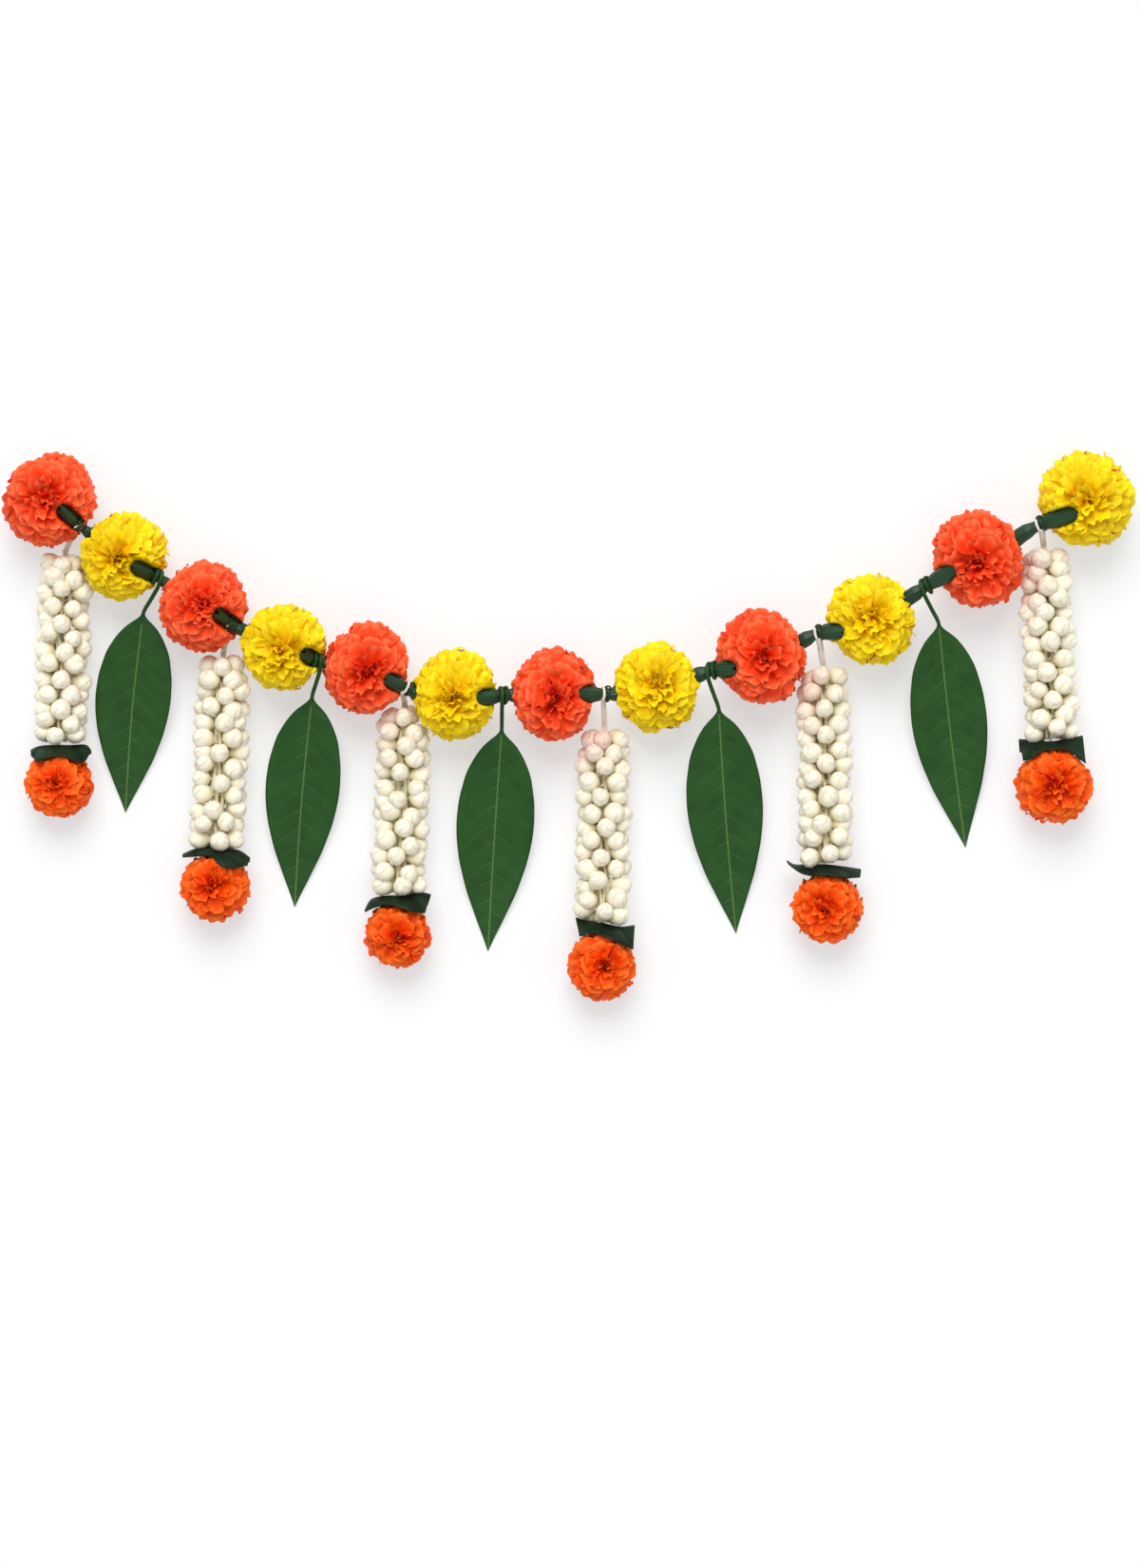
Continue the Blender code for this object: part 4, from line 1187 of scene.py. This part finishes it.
def mango_leaf_finish():
    """Mango leaf: deep green leathery cuticle, pale midrib, faint side veins 15 mm apart."""
    material, tree = new_material("mango_leaf_blade")
    place = object_place(tree)
    # the UV map holds millimetres from the midrib in x and along it in y, over 100
    apart = parts_of(tree, uv_place(tree))
    out = calc(tree, "ABSOLUTE", apart["X"])
    rib = ranged(tree, out, 0.0035, 0.0080, 1.0, 0.0, "SMOOTHSTEP")
    arch = calc(tree, "MULTIPLY", calc(tree, "POWER", out, 1.75), 1.9)
    climb = calc(tree, "ADD", arch, calc(tree, "MULTIPLY", out, 0.25))
    run = calc(tree, "SUBTRACT", apart["Y"], climb)
    right = calc(tree, "GREATER_THAN", apart["X"])
    stagger = calc(tree, "MULTIPLY", right, 0.0042 * VEIN_PITCH)
    folded = calc(tree, "PINGPONG", calc(tree, "ADD", run, stagger), VEIN_PITCH / 200)
    vein = ranged(tree, folded, 0.0020, 0.0070, 1.0, 0.0, "SMOOTHSTEP")
    soft_vein = calc(tree, "MULTIPLY", vein, ranged(tree, out, 0.02, 0.27, 1.0, 0.25))
    cells = noise(tree, place, 55.0, 4.0, 0.6)
    colour = ramp(tree, cells, (0.30, "#1B4417"), (0.72, "#26531F"))
    colour = mixed(tree, calc(tree, "MULTIPLY", soft_vein, 0.13), colour, "#5C8248")
    colour = mixed(tree, calc(tree, "MULTIPLY", rib, 0.46), colour, "#73934A")
    # the leaf stalk has its length below 0 in the UV map and is darkest where it is tied
    colour = mixed(tree, ranged(tree, apart["Y"], -1.0, 0.0, 0.85, 0.0), colour, "#12301C")
    sunk = calc(tree, "MULTIPLY", soft_vein, -0.8)
    relief = calc(tree, "ADD", sunk, calc(tree, "MULTIPLY", noise(tree, place, 900.0, 2.0), 0.25))
    surface(tree, colour, 0.46, 1.45, 0.30, (relief, 0.5, 0.0006))
    return material


mango_blade = mango_leaf_finish()
print("mango finish:", len(mango_blade.node_tree.nodes), "nodes")

# %% Mango leaves
BLADE_OUTLINE = (
    # place from base to tip, and half width as a share of the widest
    (0.0, 0.04), (0.018, 0.08), (0.034, 0.17), (0.05, 0.28), (0.072, 0.41), (0.11, 0.58), (0.20, 0.83),
    (0.32, 0.97), (0.42, 1.0), (0.50, 0.97), (0.60, 0.87), (0.73, 0.65), (0.87, 0.32), (0.95, 0.12),
    (1.0, 0.01),
)
OUTLINE_REACH = 0.03
BLADE_THICK = 1.0
BLADE_FOLD = 3.4
BLADE_WAVE = 1.7
BLADE_BASE_HEIGHT = 27.0
BLADE_TIP_HEIGHT = 0.5
BLADE_LOWEST = 0.35
BLADE_ROWS = 64
BLADE_COLUMNS = 20
LEAF_STALK_RADIUS = 1.65
LEAF_STALK_TURNS = 1.40
LEAF_STALK_PITCH = 4.2
LEAF_STALK_STEPS = 28
LEAF_STALK_RINGS = 90
LEAF_STALK_SIDES = 12
# where the leaf stalk starts to thin out, and how thin it gets
LEAF_STALK_TAPER = 0.965
LEAF_STALK_END = 0.20
GAP = 0.4


def outline(place):
    """Half width of a blade as a share of its widest; straight between close table points."""
    for (x0, y0), (x1, y1) in zip(BLADE_OUTLINE, BLADE_OUTLINE[1:]):
        if place <= x1:
            return y0 + (y1 - y0) * (place - x0) / (x1 - x0)
    return BLADE_OUTLINE[-1][1]


def rounded_outline(place):
    """The outline with its corners smoothed, except near the base and the tip."""
    samples = [outline(min(1.0, max(0.0, place + OUTLINE_REACH * k / 3))) for k in range(-3, 4)]
    return sum(samples) / len(samples) if 0.08 < place < 0.97 else outline(place)


def add_blade(bm, number, base, tip, width, bow, along):
    """Adds a leaf's blade, and tells where its stalk runs into it and which way it points."""
    run = flat(tip) - flat(base)
    length = run.length
    run.normalize()
    across = run.cross(UP)
    if across.dot(along) < 0:
        across = -across
    rows = []
    for r in range(BLADE_ROWS + 1):
        place = r / BLADE_ROWS
        share = rounded_outline(place)
        half = width / 2 * share
        height = BLADE_TIP_HEIGHT + (BLADE_BASE_HEIGHT - BLADE_TIP_HEIGHT) * (1 - place) ** 1.6
        centre = flat(base) + run * (length * place) + UP * height
        centre += across * (bow * math.sin(math.pi * place))
        wave = BLADE_WAVE * math.sin(9.0 * place + number)
        top = []
        low = []
        marks = []
        for k in range(BLADE_COLUMNS + 1):
            u = -1 + 2 * k / BLADE_COLUMNS
            rise = BLADE_FOLD * share * abs(u) ** 1.3 - wave * share * u * abs(u)
            # the blade swells between its side veins
            steps = length * place / VEIN_PITCH + (0.42 if u > 0 else 0.0) - 1.7 * abs(u) ** 1.75
            swell = 0.22 * (1 - math.cos(FULL_TURN * steps)) * share * abs(u) * (1 - abs(u)) * 3
            thick = BLADE_THICK * (0.35 + 0.65 * (1 - abs(u) ** 10))
            point = centre + across * (u * half) + UP * (rise + swell)
            point.z = max(point.z, BLADE_LOWEST)
            low.append(bm.verts.new(metres(point)))
            top.append(bm.verts.new(metres(point + UP * thick)))
            marks.append((u * half / 100, length * place / 100))
        rows.append((top, low, marks))

    def add_quad(*corners):
        verts = [rows[r][layer][k] for r, layer, k in corners]
        add_face(bm, verts, [rows[r][2][k] for r, _, k in corners])

    for r in range(BLADE_ROWS):
        for layer in (0, 1):
            for k in range(BLADE_COLUMNS):
                add_quad((r, layer, k), (r, layer, k + 1), (r + 1, layer, k + 1), (r + 1, layer, k))
        for k in (0, BLADE_COLUMNS):
            add_quad((r, 0, k), (r, 1, k), (r + 1, 1, k), (r + 1, 0, k))
    for r in (0, BLADE_ROWS):
        for k in range(BLADE_COLUMNS):
            add_quad((r, 0, k), (r, 0, k + 1), (r, 1, k + 1), (r, 1, k))
    return flat(base) + UP * (BLADE_BASE_HEIGHT + BLADE_THICK / 2), run


def add_leaf_stalk(bm, hangs_from, base, base_point, run):
    """Adds a leaf's own stalk, wound round the waist and led into the blade."""
    waist, along, up_swag, out = waist_frame(hangs_from - 1)
    radius = WAIST_RADIUS + GAP + LEAF_STALK_RADIUS
    down = (flat(base) - flat(waist)).normalized()
    climb = LEAF_STALK_PITCH * LEAF_STALK_TURNS * (1 if down.dot(along) > 0 else -1)
    route = []
    for k in range(LEAF_STALK_STEPS + 1):
        share = k / LEAF_STALK_STEPS
        angle = math.radians(90) - FULL_TURN * LEAF_STALK_TURNS * (1 - share)
        place = waist + along * (climb * (share - 0.5))
        route.append(place + on_circle(up_swag, out, angle) * radius)
    route.append(route[-1] + down * 6.0 - UP * 1.6)
    route.append(route[-1].lerp(base_point, 0.55) + UP * 1.2)
    route += [base_point, base_point + run * 14 - UP * 3.6]
    radii = []
    for k in range(LEAF_STALK_RINGS):
        past = max(0.0, k / (LEAF_STALK_RINGS - 1) - LEAF_STALK_TAPER) / (1 - LEAF_STALK_TAPER)
        radii.append(LEAF_STALK_RADIUS * (1.0 - (1.0 - LEAF_STALK_END) * past))
    add_tube(bm, smooth_steps(route, LEAF_STALK_RINGS), radii, LEAF_STALK_SIDES, along)


for number, (hangs_from, base, tip, width, bow) in enumerate(MANGO_LEAVES, 1):
    bm = new_bmesh()
    along = waist_frame(hangs_from - 1)[1]
    base_point, run = add_blade(bm, number, base, tip, width, bow, along)
    add_leaf_stalk(bm, hangs_from, base, base_point, run)
    piece = closed_shape(bm, "mango_leaf_blade_%d" % number, mango_blade)
    count = hand_over(piece, "mango_leaf", "mango_leaf_%d" % number)
print("triangles in a mango leaf:", count)

# %% [markdown]
# A jasmine string is made of unopened buds: a round head of folded petals that ends in a small
# point, on a thin white tube through which the needle went. The buds stand out from the thread in
# rings of five. Every other ring has one bud in front; the rings between them leave a gap there,
# in which the bundle of tubes shows. Again a few shapes are made one by one and the tree sets them
# on guide points.

# %% Jasmine finish


def jasmine_finish():
    """Fresh jasmine bud: cream and waxy, its base yellow-green, partly as painted shade; painted shade
    on its spiral petal edges.
    """
    material, tree = new_material("jasmine_bud_petals")
    reach = note(tree, "reach")
    # darker yellow-green towards the bud's base, deep in the column: partly the bud's own greener base,
    # partly painted shade
    colour = ramp(tree, reach, (0.0, "#DAC576"), (0.22, "#F1E8C6"), (0.60, "#F9F2DE"))
    # a tint above 1 mixes in pink: painted light reflected from the orange heads onto the top buds
    colour = mixed(tree, ranged(tree, note(tree, "tint"), 1.0, 2.0, 0.0, 0.75), colour, "#F2CDC0")
    # three petals overlap in a spiral: a sawtooth that turns as it runs up the bud and darkens the
    # colour as painted shade in the creases where they overlap
    apart = parts_of(tree, uv_place(tree))
    around = calc(tree, "MULTIPLY", apart["X"], 3.0)
    lap = calc(tree, "FRACT", calc(tree, "ADD", around, calc(tree, "MULTIPLY", apart["Y"], 3.4)))
    edge = ranged(tree, lap, 0.0, 0.35, 0.76, 1.0, "SMOOTHSTEP")
    head = ranged(tree, reach, 0.45, 0.75, 0.0, 1.0)
    tone = add(tree, "ShaderNodeMix", {"Factor": head, "A": 1.0, "B": edge})
    relief = calc(tree, "MULTIPLY", lap, head)
    surface(tree, toned(tree, colour, tone), 0.48, 1.42, 0.35, (relief, 0.45, 0.0007), {
        "Subsurface Weight": 0.20, "Subsurface Radius": (0.004, 0.0035, 0.002), "Subsurface Scale": 1.0,
    })
    return material


jasmine_petals = jasmine_finish()
print("jasmine finish:", len(jasmine_petals.node_tree.nodes), "nodes")

# %% Bud shapes and columns of buds
BUD_PROFILE = (
    # along the bud from the thread to its point, in bud lengths, and its radius
    (-0.98, 0.075), (-0.44, 0.085), (-0.37, 0.20), (-0.22, 0.415), (0.0, 0.50), (0.20, 0.465),
    (0.36, 0.32), (0.46, 0.13), (0.49, 0.01),
)
# where a bud's tube, and the bundle of tubes down the column, lie in the bud's range of colours
TUBE_REACH = 0.25
STRAND_REACH = 0.20
BUD_SIDES = 16
BUD_KINDS = 5
CORE_STRANDS = 7
CORE_STRAND_RADIUS = 1.5
CORE_STRAND_SIDES = 8
CORE_RADIUS = 4.6
CORE_RINGS = 44
CORE_MARK = (0.5, 0.2)
CORE_SEED = 500


def bud_shape(name, group, fold, twist, squash, phase):
    """A bud of unit length: z runs outward, the middle of its round head at the origin."""
    rings = []
    reach = []
    for place, radius in BUD_PROFILE:
        grown = max(0.0, min(1.0, (place + 0.4) / 0.9))
        ring = []
        for k in range(BUD_SIDES):
            angle = FULL_TURN * k / BUD_SIDES + twist * grown
            leaf = (3 * k / BUD_SIDES + phase) % 1.0
            r = radius * (1 + fold * grown * (leaf - 0.5))
            ring.append((r * math.cos(angle) * squash, r * math.sin(angle) / squash, place))
        rings.append(ring)
        reach += [grown if place > -0.36 else TUBE_REACH] * BUD_SIDES
    bm = new_bmesh()
    add_rings(bm, rings)
    keep_reach(closed_shape(bm, name, group=group).data, reach)


bud_shapes = new_group("bud shapes")
for kind in range(BUD_KINDS):
    bud_shape(
        "bud_%d" % kind, bud_shapes, fold=0.16 + 0.06 * (kind % 3), twist=0.9 + 0.3 * kind,
        squash=1.0 + 0.03 * (kind % 2), phase=0.37 * kind,
    )

buds_tree, given = new_tree("buds on a thread", {
    "Shapes": "Collection", "Core": "Object", "Surface": "Float", "Finish": "Material",
})
buds = at_height(buds_tree, set_on_points(buds_tree, given), "MAXIMUM", given["Surface"])
wound = add(buds_tree, "GeometryNodeObjectInfo", {"Object": given["Core"]}, transform_space="RELATIVE")
finished(buds_tree, [buds, wound.outputs["Geometry"]], given["Finish"])

BUD_WIDE = 15.8
BUD_LONG = 18.6
BUD_ROWS = 13
BUD_SEED = 400
BUD_SURFACE = 0.6
# how far a bud strays round the thread in radians, along it in mm, and in its lean to the side
BUD_STRAY = 0.26
BUD_STRAY_ALONG = 2.8
BUD_LEAN = 0.28
# how near its middle may come to a head and to the surface, as shares of its width
BUD_TOUCH = 0.46
BUD_REST = 0.47
# how far the last ring stops before or past the column's end, for each tassel
BUDS_PAST_END = (0.8, 0.8, -1.0, -2.4, -2.0, -1.6)
# how far out the first rings stand, as a share of the others
FIRST_RINGS = {0: 0.84, 1: 0.95}
# where the buds of the two kinds of ring stand round the thread, in degrees from its right side
FRONT_RING = (90, 14, 166, -42, -138)
GAP_RING = (43, 137, -14, 194, -90)
# painted light reflected from the orange heads: pink on the top rows of these columns
PAINTED_BOUNCE_TASSELS = (3, 4, 5, 6)
PAINTED_BOUNCE_ROWS = 4.0


def bud_rows(tassel):
    """Where each bud of a column goes: (middle, turn, size, kind, tint)."""
    start, direction, length, _ = tassel_axis(tassel)
    side, lift = side_and_lift(direction)
    chance = random.Random(BUD_SEED + tassel)
    rows = []
    pitch = (length + BUDS_PAST_END[tassel] - BUD_WIDE) / (BUD_ROWS - 1)
    for row in range(BUD_ROWS):
        along = BUD_WIDE / 2 + pitch * row
        ring = (COLUMN_RADIUS - BUD_LONG / 2) * FIRST_RINGS.get(row, 1.0)
        for degrees in FRONT_RING if row % 2 == 0 else GAP_RING:
            outward = on_circle(side, lift, math.radians(degrees) + stray(chance, BUD_STRAY))
            size = chance.uniform(0.90, 1.08)
            wide = BUD_WIDE * size
            middle = start + direction * (along + stray(chance, BUD_STRAY_ALONG))
            middle += outward * (ring + chance.uniform(-1.8, 0.9))
            for index, (_, _, across, _) in enumerate(MARIGOLDS):
                away = middle - head_centre(index)
                clear = across * ROUND_SHARE + wide * BUD_TOUCH
                if away.length < clear:
                    middle += away.normalized() * (clear - away.length)
            middle.z = max(middle.z, wide * BUD_REST + SURFACE)
            lean = outward + direction * chance.uniform(-0.38, 0.22)
            lean += outward.cross(direction) * stray(chance, BUD_LEAN)
            basis = turned(lean.to_track_quat("Z", "Y").to_matrix(), chance.uniform(0, 6.28), "Z")
            # painted pink light reflected from the orange heads, fading over the top rows and strongest
            # on buds facing left
            fading = max(0.0, 1.0 - row / PAINTED_BOUNCE_ROWS) if tassel + 1 in PAINTED_BOUNCE_TASSELS else 0.0
            painted_bounce = 1.0 + fading * (1.0 if outward.x < -0.1 else 0.15) * chance.uniform(0.3, 1.0)
            kind = chance.randrange(BUD_KINDS)
            rows.append((middle, basis, (wide, wide, BUD_LONG * size), kind, painted_bounce))
    return rows


def thread_core(tassel):
    """The bundle of threads and bud tubes down the middle of a column."""
    start, direction, length, _ = tassel_axis(tassel)
    side, lift = side_and_lift(direction)
    chance = random.Random(CORE_SEED + tassel)
    bm = new_bmesh()
    for strand in range(CORE_STRANDS):
        phase = FULL_TURN * strand / CORE_STRANDS
        sway = chance.uniform(0, FULL_TURN)
        line = []
        for r in range(CORE_RINGS):
            along = 4.0 + (length - 7.0) * r / (CORE_RINGS - 1)
            angle = phase + along / 70 + 0.35 * math.sin(along / 9 + sway)
            radius = CORE_RADIUS + 0.8 * math.sin(along / 6 + 2 * sway)
            line.append(start + direction * along + on_circle(side, lift, angle) * radius)
        add_tube(bm, line, [CORE_STRAND_RADIUS] * CORE_RINGS, CORE_STRAND_SIDES, UP, CORE_MARK)
    core = closed_shape(bm, "thread_core_%d" % (tassel + 1), jasmine_petals)
    keep_reach(core.data, [STRAND_REACH] * len(core.data.vertices))
    helpers.append(core)
    return core


for tassel in range(len(TASSELS)):
    guide = guide_points("jasmine_buds_%d" % (tassel + 1), bud_rows(tassel))
    column = made_real(guide, buds_tree, {
        "Shapes": bud_shapes, "Core": thread_core(tassel), "Surface": BUD_SURFACE * MM,
        "Finish": jasmine_petals,
    })
    count = hand_over(column, "jasmine_bud", "jasmine_%d" % (tassel + 1))
print("triangles in a column of buds:", count)

# %% [markdown]
# Under each column a piece of dark leaf is threaded as a collar. It is a thin leathery scrap, about
# five centimetres wide, that rides on the end marigold and hangs down over it towards the viewer.
# Each scrap is cut and curled differently, so each has its own short outline: the line of its ridge
# and the line of its front edge. The sheet between them is bent over the head, and a Solidify
# modifier gives it its thickness.

# %% Collar finish


def collar_finish():
    """Piece of dark leaf: matt satin, faint fibres about 1 mm apart, darker and lighter patches."""
    material, tree = new_material("dark_leaf_collar")
    place = object_place(tree)
    fibres = noise(tree, vector_calc(tree, "MULTIPLY", place, (700.0, 90.0, 160.0)), 1.0, 3.0)
    colour = ramp(tree, noise(tree, place, 70.0, 2.0), (0.30, "#0A180C"), (0.70, "#16301A"))
    surface(tree, colour, 0.50, 1.45, 0.22, (fibres, 0.4, 0.0004))
    return material


dark_leaf = collar_finish()
print("collar finish:", dark_leaf.name)

# %% Collars
COLLAR_CLEAR = 4.0
COLLAR_THICK = 0.9
COLLAR_COLUMNS = 44
COLLAR_ROWS = 16
COLLAR_DEPTH = 13.0
# for each collar, from left to right: side place and height above the end marigold's centre, first
# of its ridge and then of its front edge, in mm
COLLARS = (
    (
        ((-23.0, 26.0), (-17, 29.0), (-5, 30.5), (8, 30.7), (20, 31.3), (24.5, 27.0)),
        ((-21.5, 22.0), (-16, 17.5), (-7, 20.6), (5, 22.0), (19, 17.4), (24.0, 24.5)),
    ),
    (
        ((-26.7, 24.4), (-18, 28.6), (-7, 30.2), (8, 29.4), (18, 28.8), (26.5, 23.5)),
        ((-26.0, 22.5), (-19, 23.0), (-9, 24.0), (-2, 23.0), (9, 15.2), (25.5, 17.6)),
    ),
    (
        ((-26.0, 19.5), (-21, 27.5), (-9, 30.3), (6, 31.0), (17, 33.8), (25.5, 32.5)),
        ((-26.0, 17.5), (-18, 21.3), (-8, 24.0), (3, 21.6), (11, 19.3), (21.5, 18.0)),
    ),
    (
        ((-21.0, 37.8), (-14, 35.3), (-4, 34.5), (7, 32.0), (16, 30.7), (25.8, 32.0)),
        ((-18.0, 23.0), (-9, 25.8), (0, 24.0), (9, 20.8), (17, 17.0), (24.5, 13.5)),
    ),
    (
        ((-31.0, 37.5), (-25, 34.0), (-12, 34.0), (0, 33.6), (14, 31.8), (27.5, 29.5)),
        ((-30.0, 34.5), (-21, 27.8), (-12, 25.3), (0, 25.8), (12, 23.2), (26.0, 23.6)),
    ),
    (
        ((-26.0, 37.0), (-15, 36.0), (-3, 34.2), (8, 35.0), (16, 36.5), (24.5, 37.8)),
        ((-24.5, 20.0), (-17, 22.0), (-10, 27.0), (0, 27.6), (11, 26.6), (24.5, 16.0)),
    ),
)


def collar_points(tassel, ridge, front):
    """Rows of points over the head, from the collar's back edge over its ridge to its front edge."""
    _, direction, _, end_centre = tassel_axis(tassel)
    side, _ = side_and_lift(direction)
    if side.x < 0:
        side = -side
    shell = TASSELS[tassel][3] + COLLAR_CLEAR
    ridge_line, front_line = (
        smooth_steps([Vector((*p, 0)) for p in edge], COLLAR_COLUMNS + 1) for edge in (ridge, front)
    )
    verts = []
    for r in range(COLLAR_ROWS + 1):
        v = -1 + 2 * r / COLLAR_ROWS
        for k in range(COLLAR_COLUMNS + 1):
            over = abs(v) ** 1.5
            spot = ridge_line[k].lerp(front_line[k], over * (1.0 if v > 0 else 0.6))
            slant = 3.0 * math.sin(2.4 * k / COLLAR_COLUMNS * math.pi + tassel) * (1 - abs(v)) * 0.5
            bulge = math.sqrt(max(0.0, shell * shell - spot.x ** 2 - spot.y ** 2))
            high = max(bulge, COLLAR_DEPTH * abs(v) ** 0.8)
            high = high * (1 if v > 0 else -0.8) + slant
            point = end_centre + side * spot.x - direction * spot.y + UP * high
            point.z = max(point.z, SURFACE)
            verts.append(metres(point))
    return verts


for tassel, (ridge, front) in enumerate(COLLARS):
    name = "leaf_collar_%d" % (tassel + 1)
    faces = grid_faces(COLLAR_ROWS + 1, COLLAR_COLUMNS + 1)
    mesh = new_mesh(name, collar_points(tassel, ridge, front), [], faces)
    mesh.materials.append(dark_leaf)
    piece = link(name, mesh)
    thick = piece.modifiers.new("thickness", "SOLIDIFY")
    thick.thickness = COLLAR_THICK * MM
    thick.offset = 0
    graph = bpy.context.evaluated_depsgraph_get()
    piece.data = bpy.data.meshes.new_from_object(piece.evaluated_get(graph))
    piece.modifiers.clear()
    face_outward(piece.data)
    count = hand_over(piece, "collar_leaf", "collar_%d" % (tassel + 1))
print("triangles in a collar:", count)

# %% [markdown]
# The tassel threads are two-ply cotton. A thread runs from the end marigold up through the buds,
# over the waist of the rolled leaf and back down beside itself. Geometry Nodes sweep a slightly
# oval outline along the path and turn it as it goes, which is what twisting two plies does.

# %% Thread finish


def cotton_finish(name, stained, clean):
    """Two-ply cotton thread: matt and fuzzy, with patches of a darker stain."""
    material, tree = new_material(name)
    place = object_place(tree)
    fuzz = noise(tree, place, 1400.0, 3.0)
    colour = ramp(tree, noise(tree, place, 120.0, 2.0), (0.30, stained), (0.62, clean))
    surface(tree, colour, 0.85, 1.5, 0.5, (fuzz, 0.6, 0.0002), {
        "Sheen Weight": 0.3, "Sheen Roughness": 0.5,
    })
    return material


cotton = cotton_finish("twisted_cotton_thread", "#DDD2BE", "#F4F0E6")
# nowhere does the string show white between the heads, so it is taken to be of green cotton
green_cotton = cotton_finish("green_cotton_string", "#142012", "#22351E")
for material_slot in frame["nodes"]["main_string"].material_slots:
    material_slot.material = green_cotton
print("cotton finishes:", cotton.name, green_cotton.name)

# %% Threads
THREAD_RADIUS = 1.10
# the oval outline of the two plies: its longer radius in mm, and the shorter one as a share of it
PLIES_RADIUS = 1.21
PLIES_FLAT = 0.88
THREAD_SPREAD = 2.4
THREAD_TWIST = 5.0
THREAD_STEP = 0.5
THREAD_SIDES = 8
LOOP_STEPS = 12

thread_tree, given = new_tree("twisted thread", {
    "Radius": "Float", "Step": "Float", "Twist length": "Float", "Finish": "Material",
})
path = add(thread_tree, "GeometryNodeMeshToCurve", {"Mesh": given["Geometry"]})
even = add(thread_tree, "GeometryNodeResampleCurve", {
    "Curve": path, "Length": given["Step"],
}, mode="LENGTH")
run_along = add(thread_tree, "GeometryNodeSplineParameter").outputs["Length"]
turns = calc(thread_tree, "DIVIDE", run_along, given["Twist length"])
tilted = add(thread_tree, "GeometryNodeSetCurveTilt", {
    "Curve": even, "Tilt": calc(thread_tree, "MULTIPLY", turns, FULL_TURN),
})
ring = add(thread_tree, "GeometryNodeCurvePrimitiveCircle", {
    "Resolution": THREAD_SIDES, "Radius": given["Radius"],
})
plies = add(thread_tree, "GeometryNodeTransform", {"Geometry": ring, "Scale": (1.0, PLIES_FLAT, 1.0)})
swept = add(thread_tree, "GeometryNodeCurveToMesh", {
    "Curve": tilted, "Profile Curve": plies, "Fill Caps": True,
})
finished(thread_tree, [swept], given["Finish"])


def thread_route(tassel):
    """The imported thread's route, from the end marigold over the waist and back into the buds."""
    start, direction, _, end_centre = tassel_axis(tassel)
    waist, along, up_swag, out = waist_frame(TASSELS[tassel][0] - 1)
    hidden = TASSELS[tassel][0] - 1 in BANDS_OVER_THREAD
    loop_radius = THREAD_LOOP if hidden else WAIST_RADIUS + GAP + THREAD_RADIUS
    half = THREAD_SPREAD / 2
    beside = (along - direction * along.dot(direction)).normalized() * half
    points = [
        end_centre - direction * 4 - beside,
        start.lerp(end_centre, 0.5) - beside,
        start + direction * 6 - beside,
        start - direction * 2 - beside,
    ]
    for k in range(LOOP_STEPS + 1):
        angle = math.radians(165 - 330 * k / LOOP_STEPS)
        offset = -half + THREAD_SPREAD * k / LOOP_STEPS
        points.append(waist + along * offset + on_circle(up_swag, out, angle) * loop_radius)
    return points + [start + direction * down + beside for down in (-2, 6, 22)]


for tassel in range(len(TASSELS)):
    name = "cotton_thread_%d" % (tassel + 1)
    route = thread_route(tassel)
    verts = [metres(point) for point in smooth_steps(route, 8 * len(route))]
    mesh = new_mesh(name, verts, [(k, k + 1) for k in range(len(verts) - 1)], [])
    thread = made_real(link(name, mesh), thread_tree, {
        "Radius": PLIES_RADIUS * MM, "Step": THREAD_STEP * MM, "Twist length": THREAD_TWIST * MM,
        "Finish": cotton,
    })
    face_outward(thread.data)
    count = hand_over(thread, "cotton_thread", "tassel_thread_%d" % (tassel + 1))
print("triangles in a thread:", count)

# %% Finish
for group in (petal_shapes, end_petal_shapes, bud_shapes):
    for shape in list(group.objects):
        bpy.data.objects.remove(shape, do_unlink=True)
    bpy.data.collections.remove(group)
for helper in helpers:
    bpy.data.objects.remove(helper, do_unlink=True)

total = sum(count for _, count in PIECES)
largest = max(PIECES, key=lambda row: row[1])
print("pieces", len(PIECES), "triangles", total, "largest", largest)
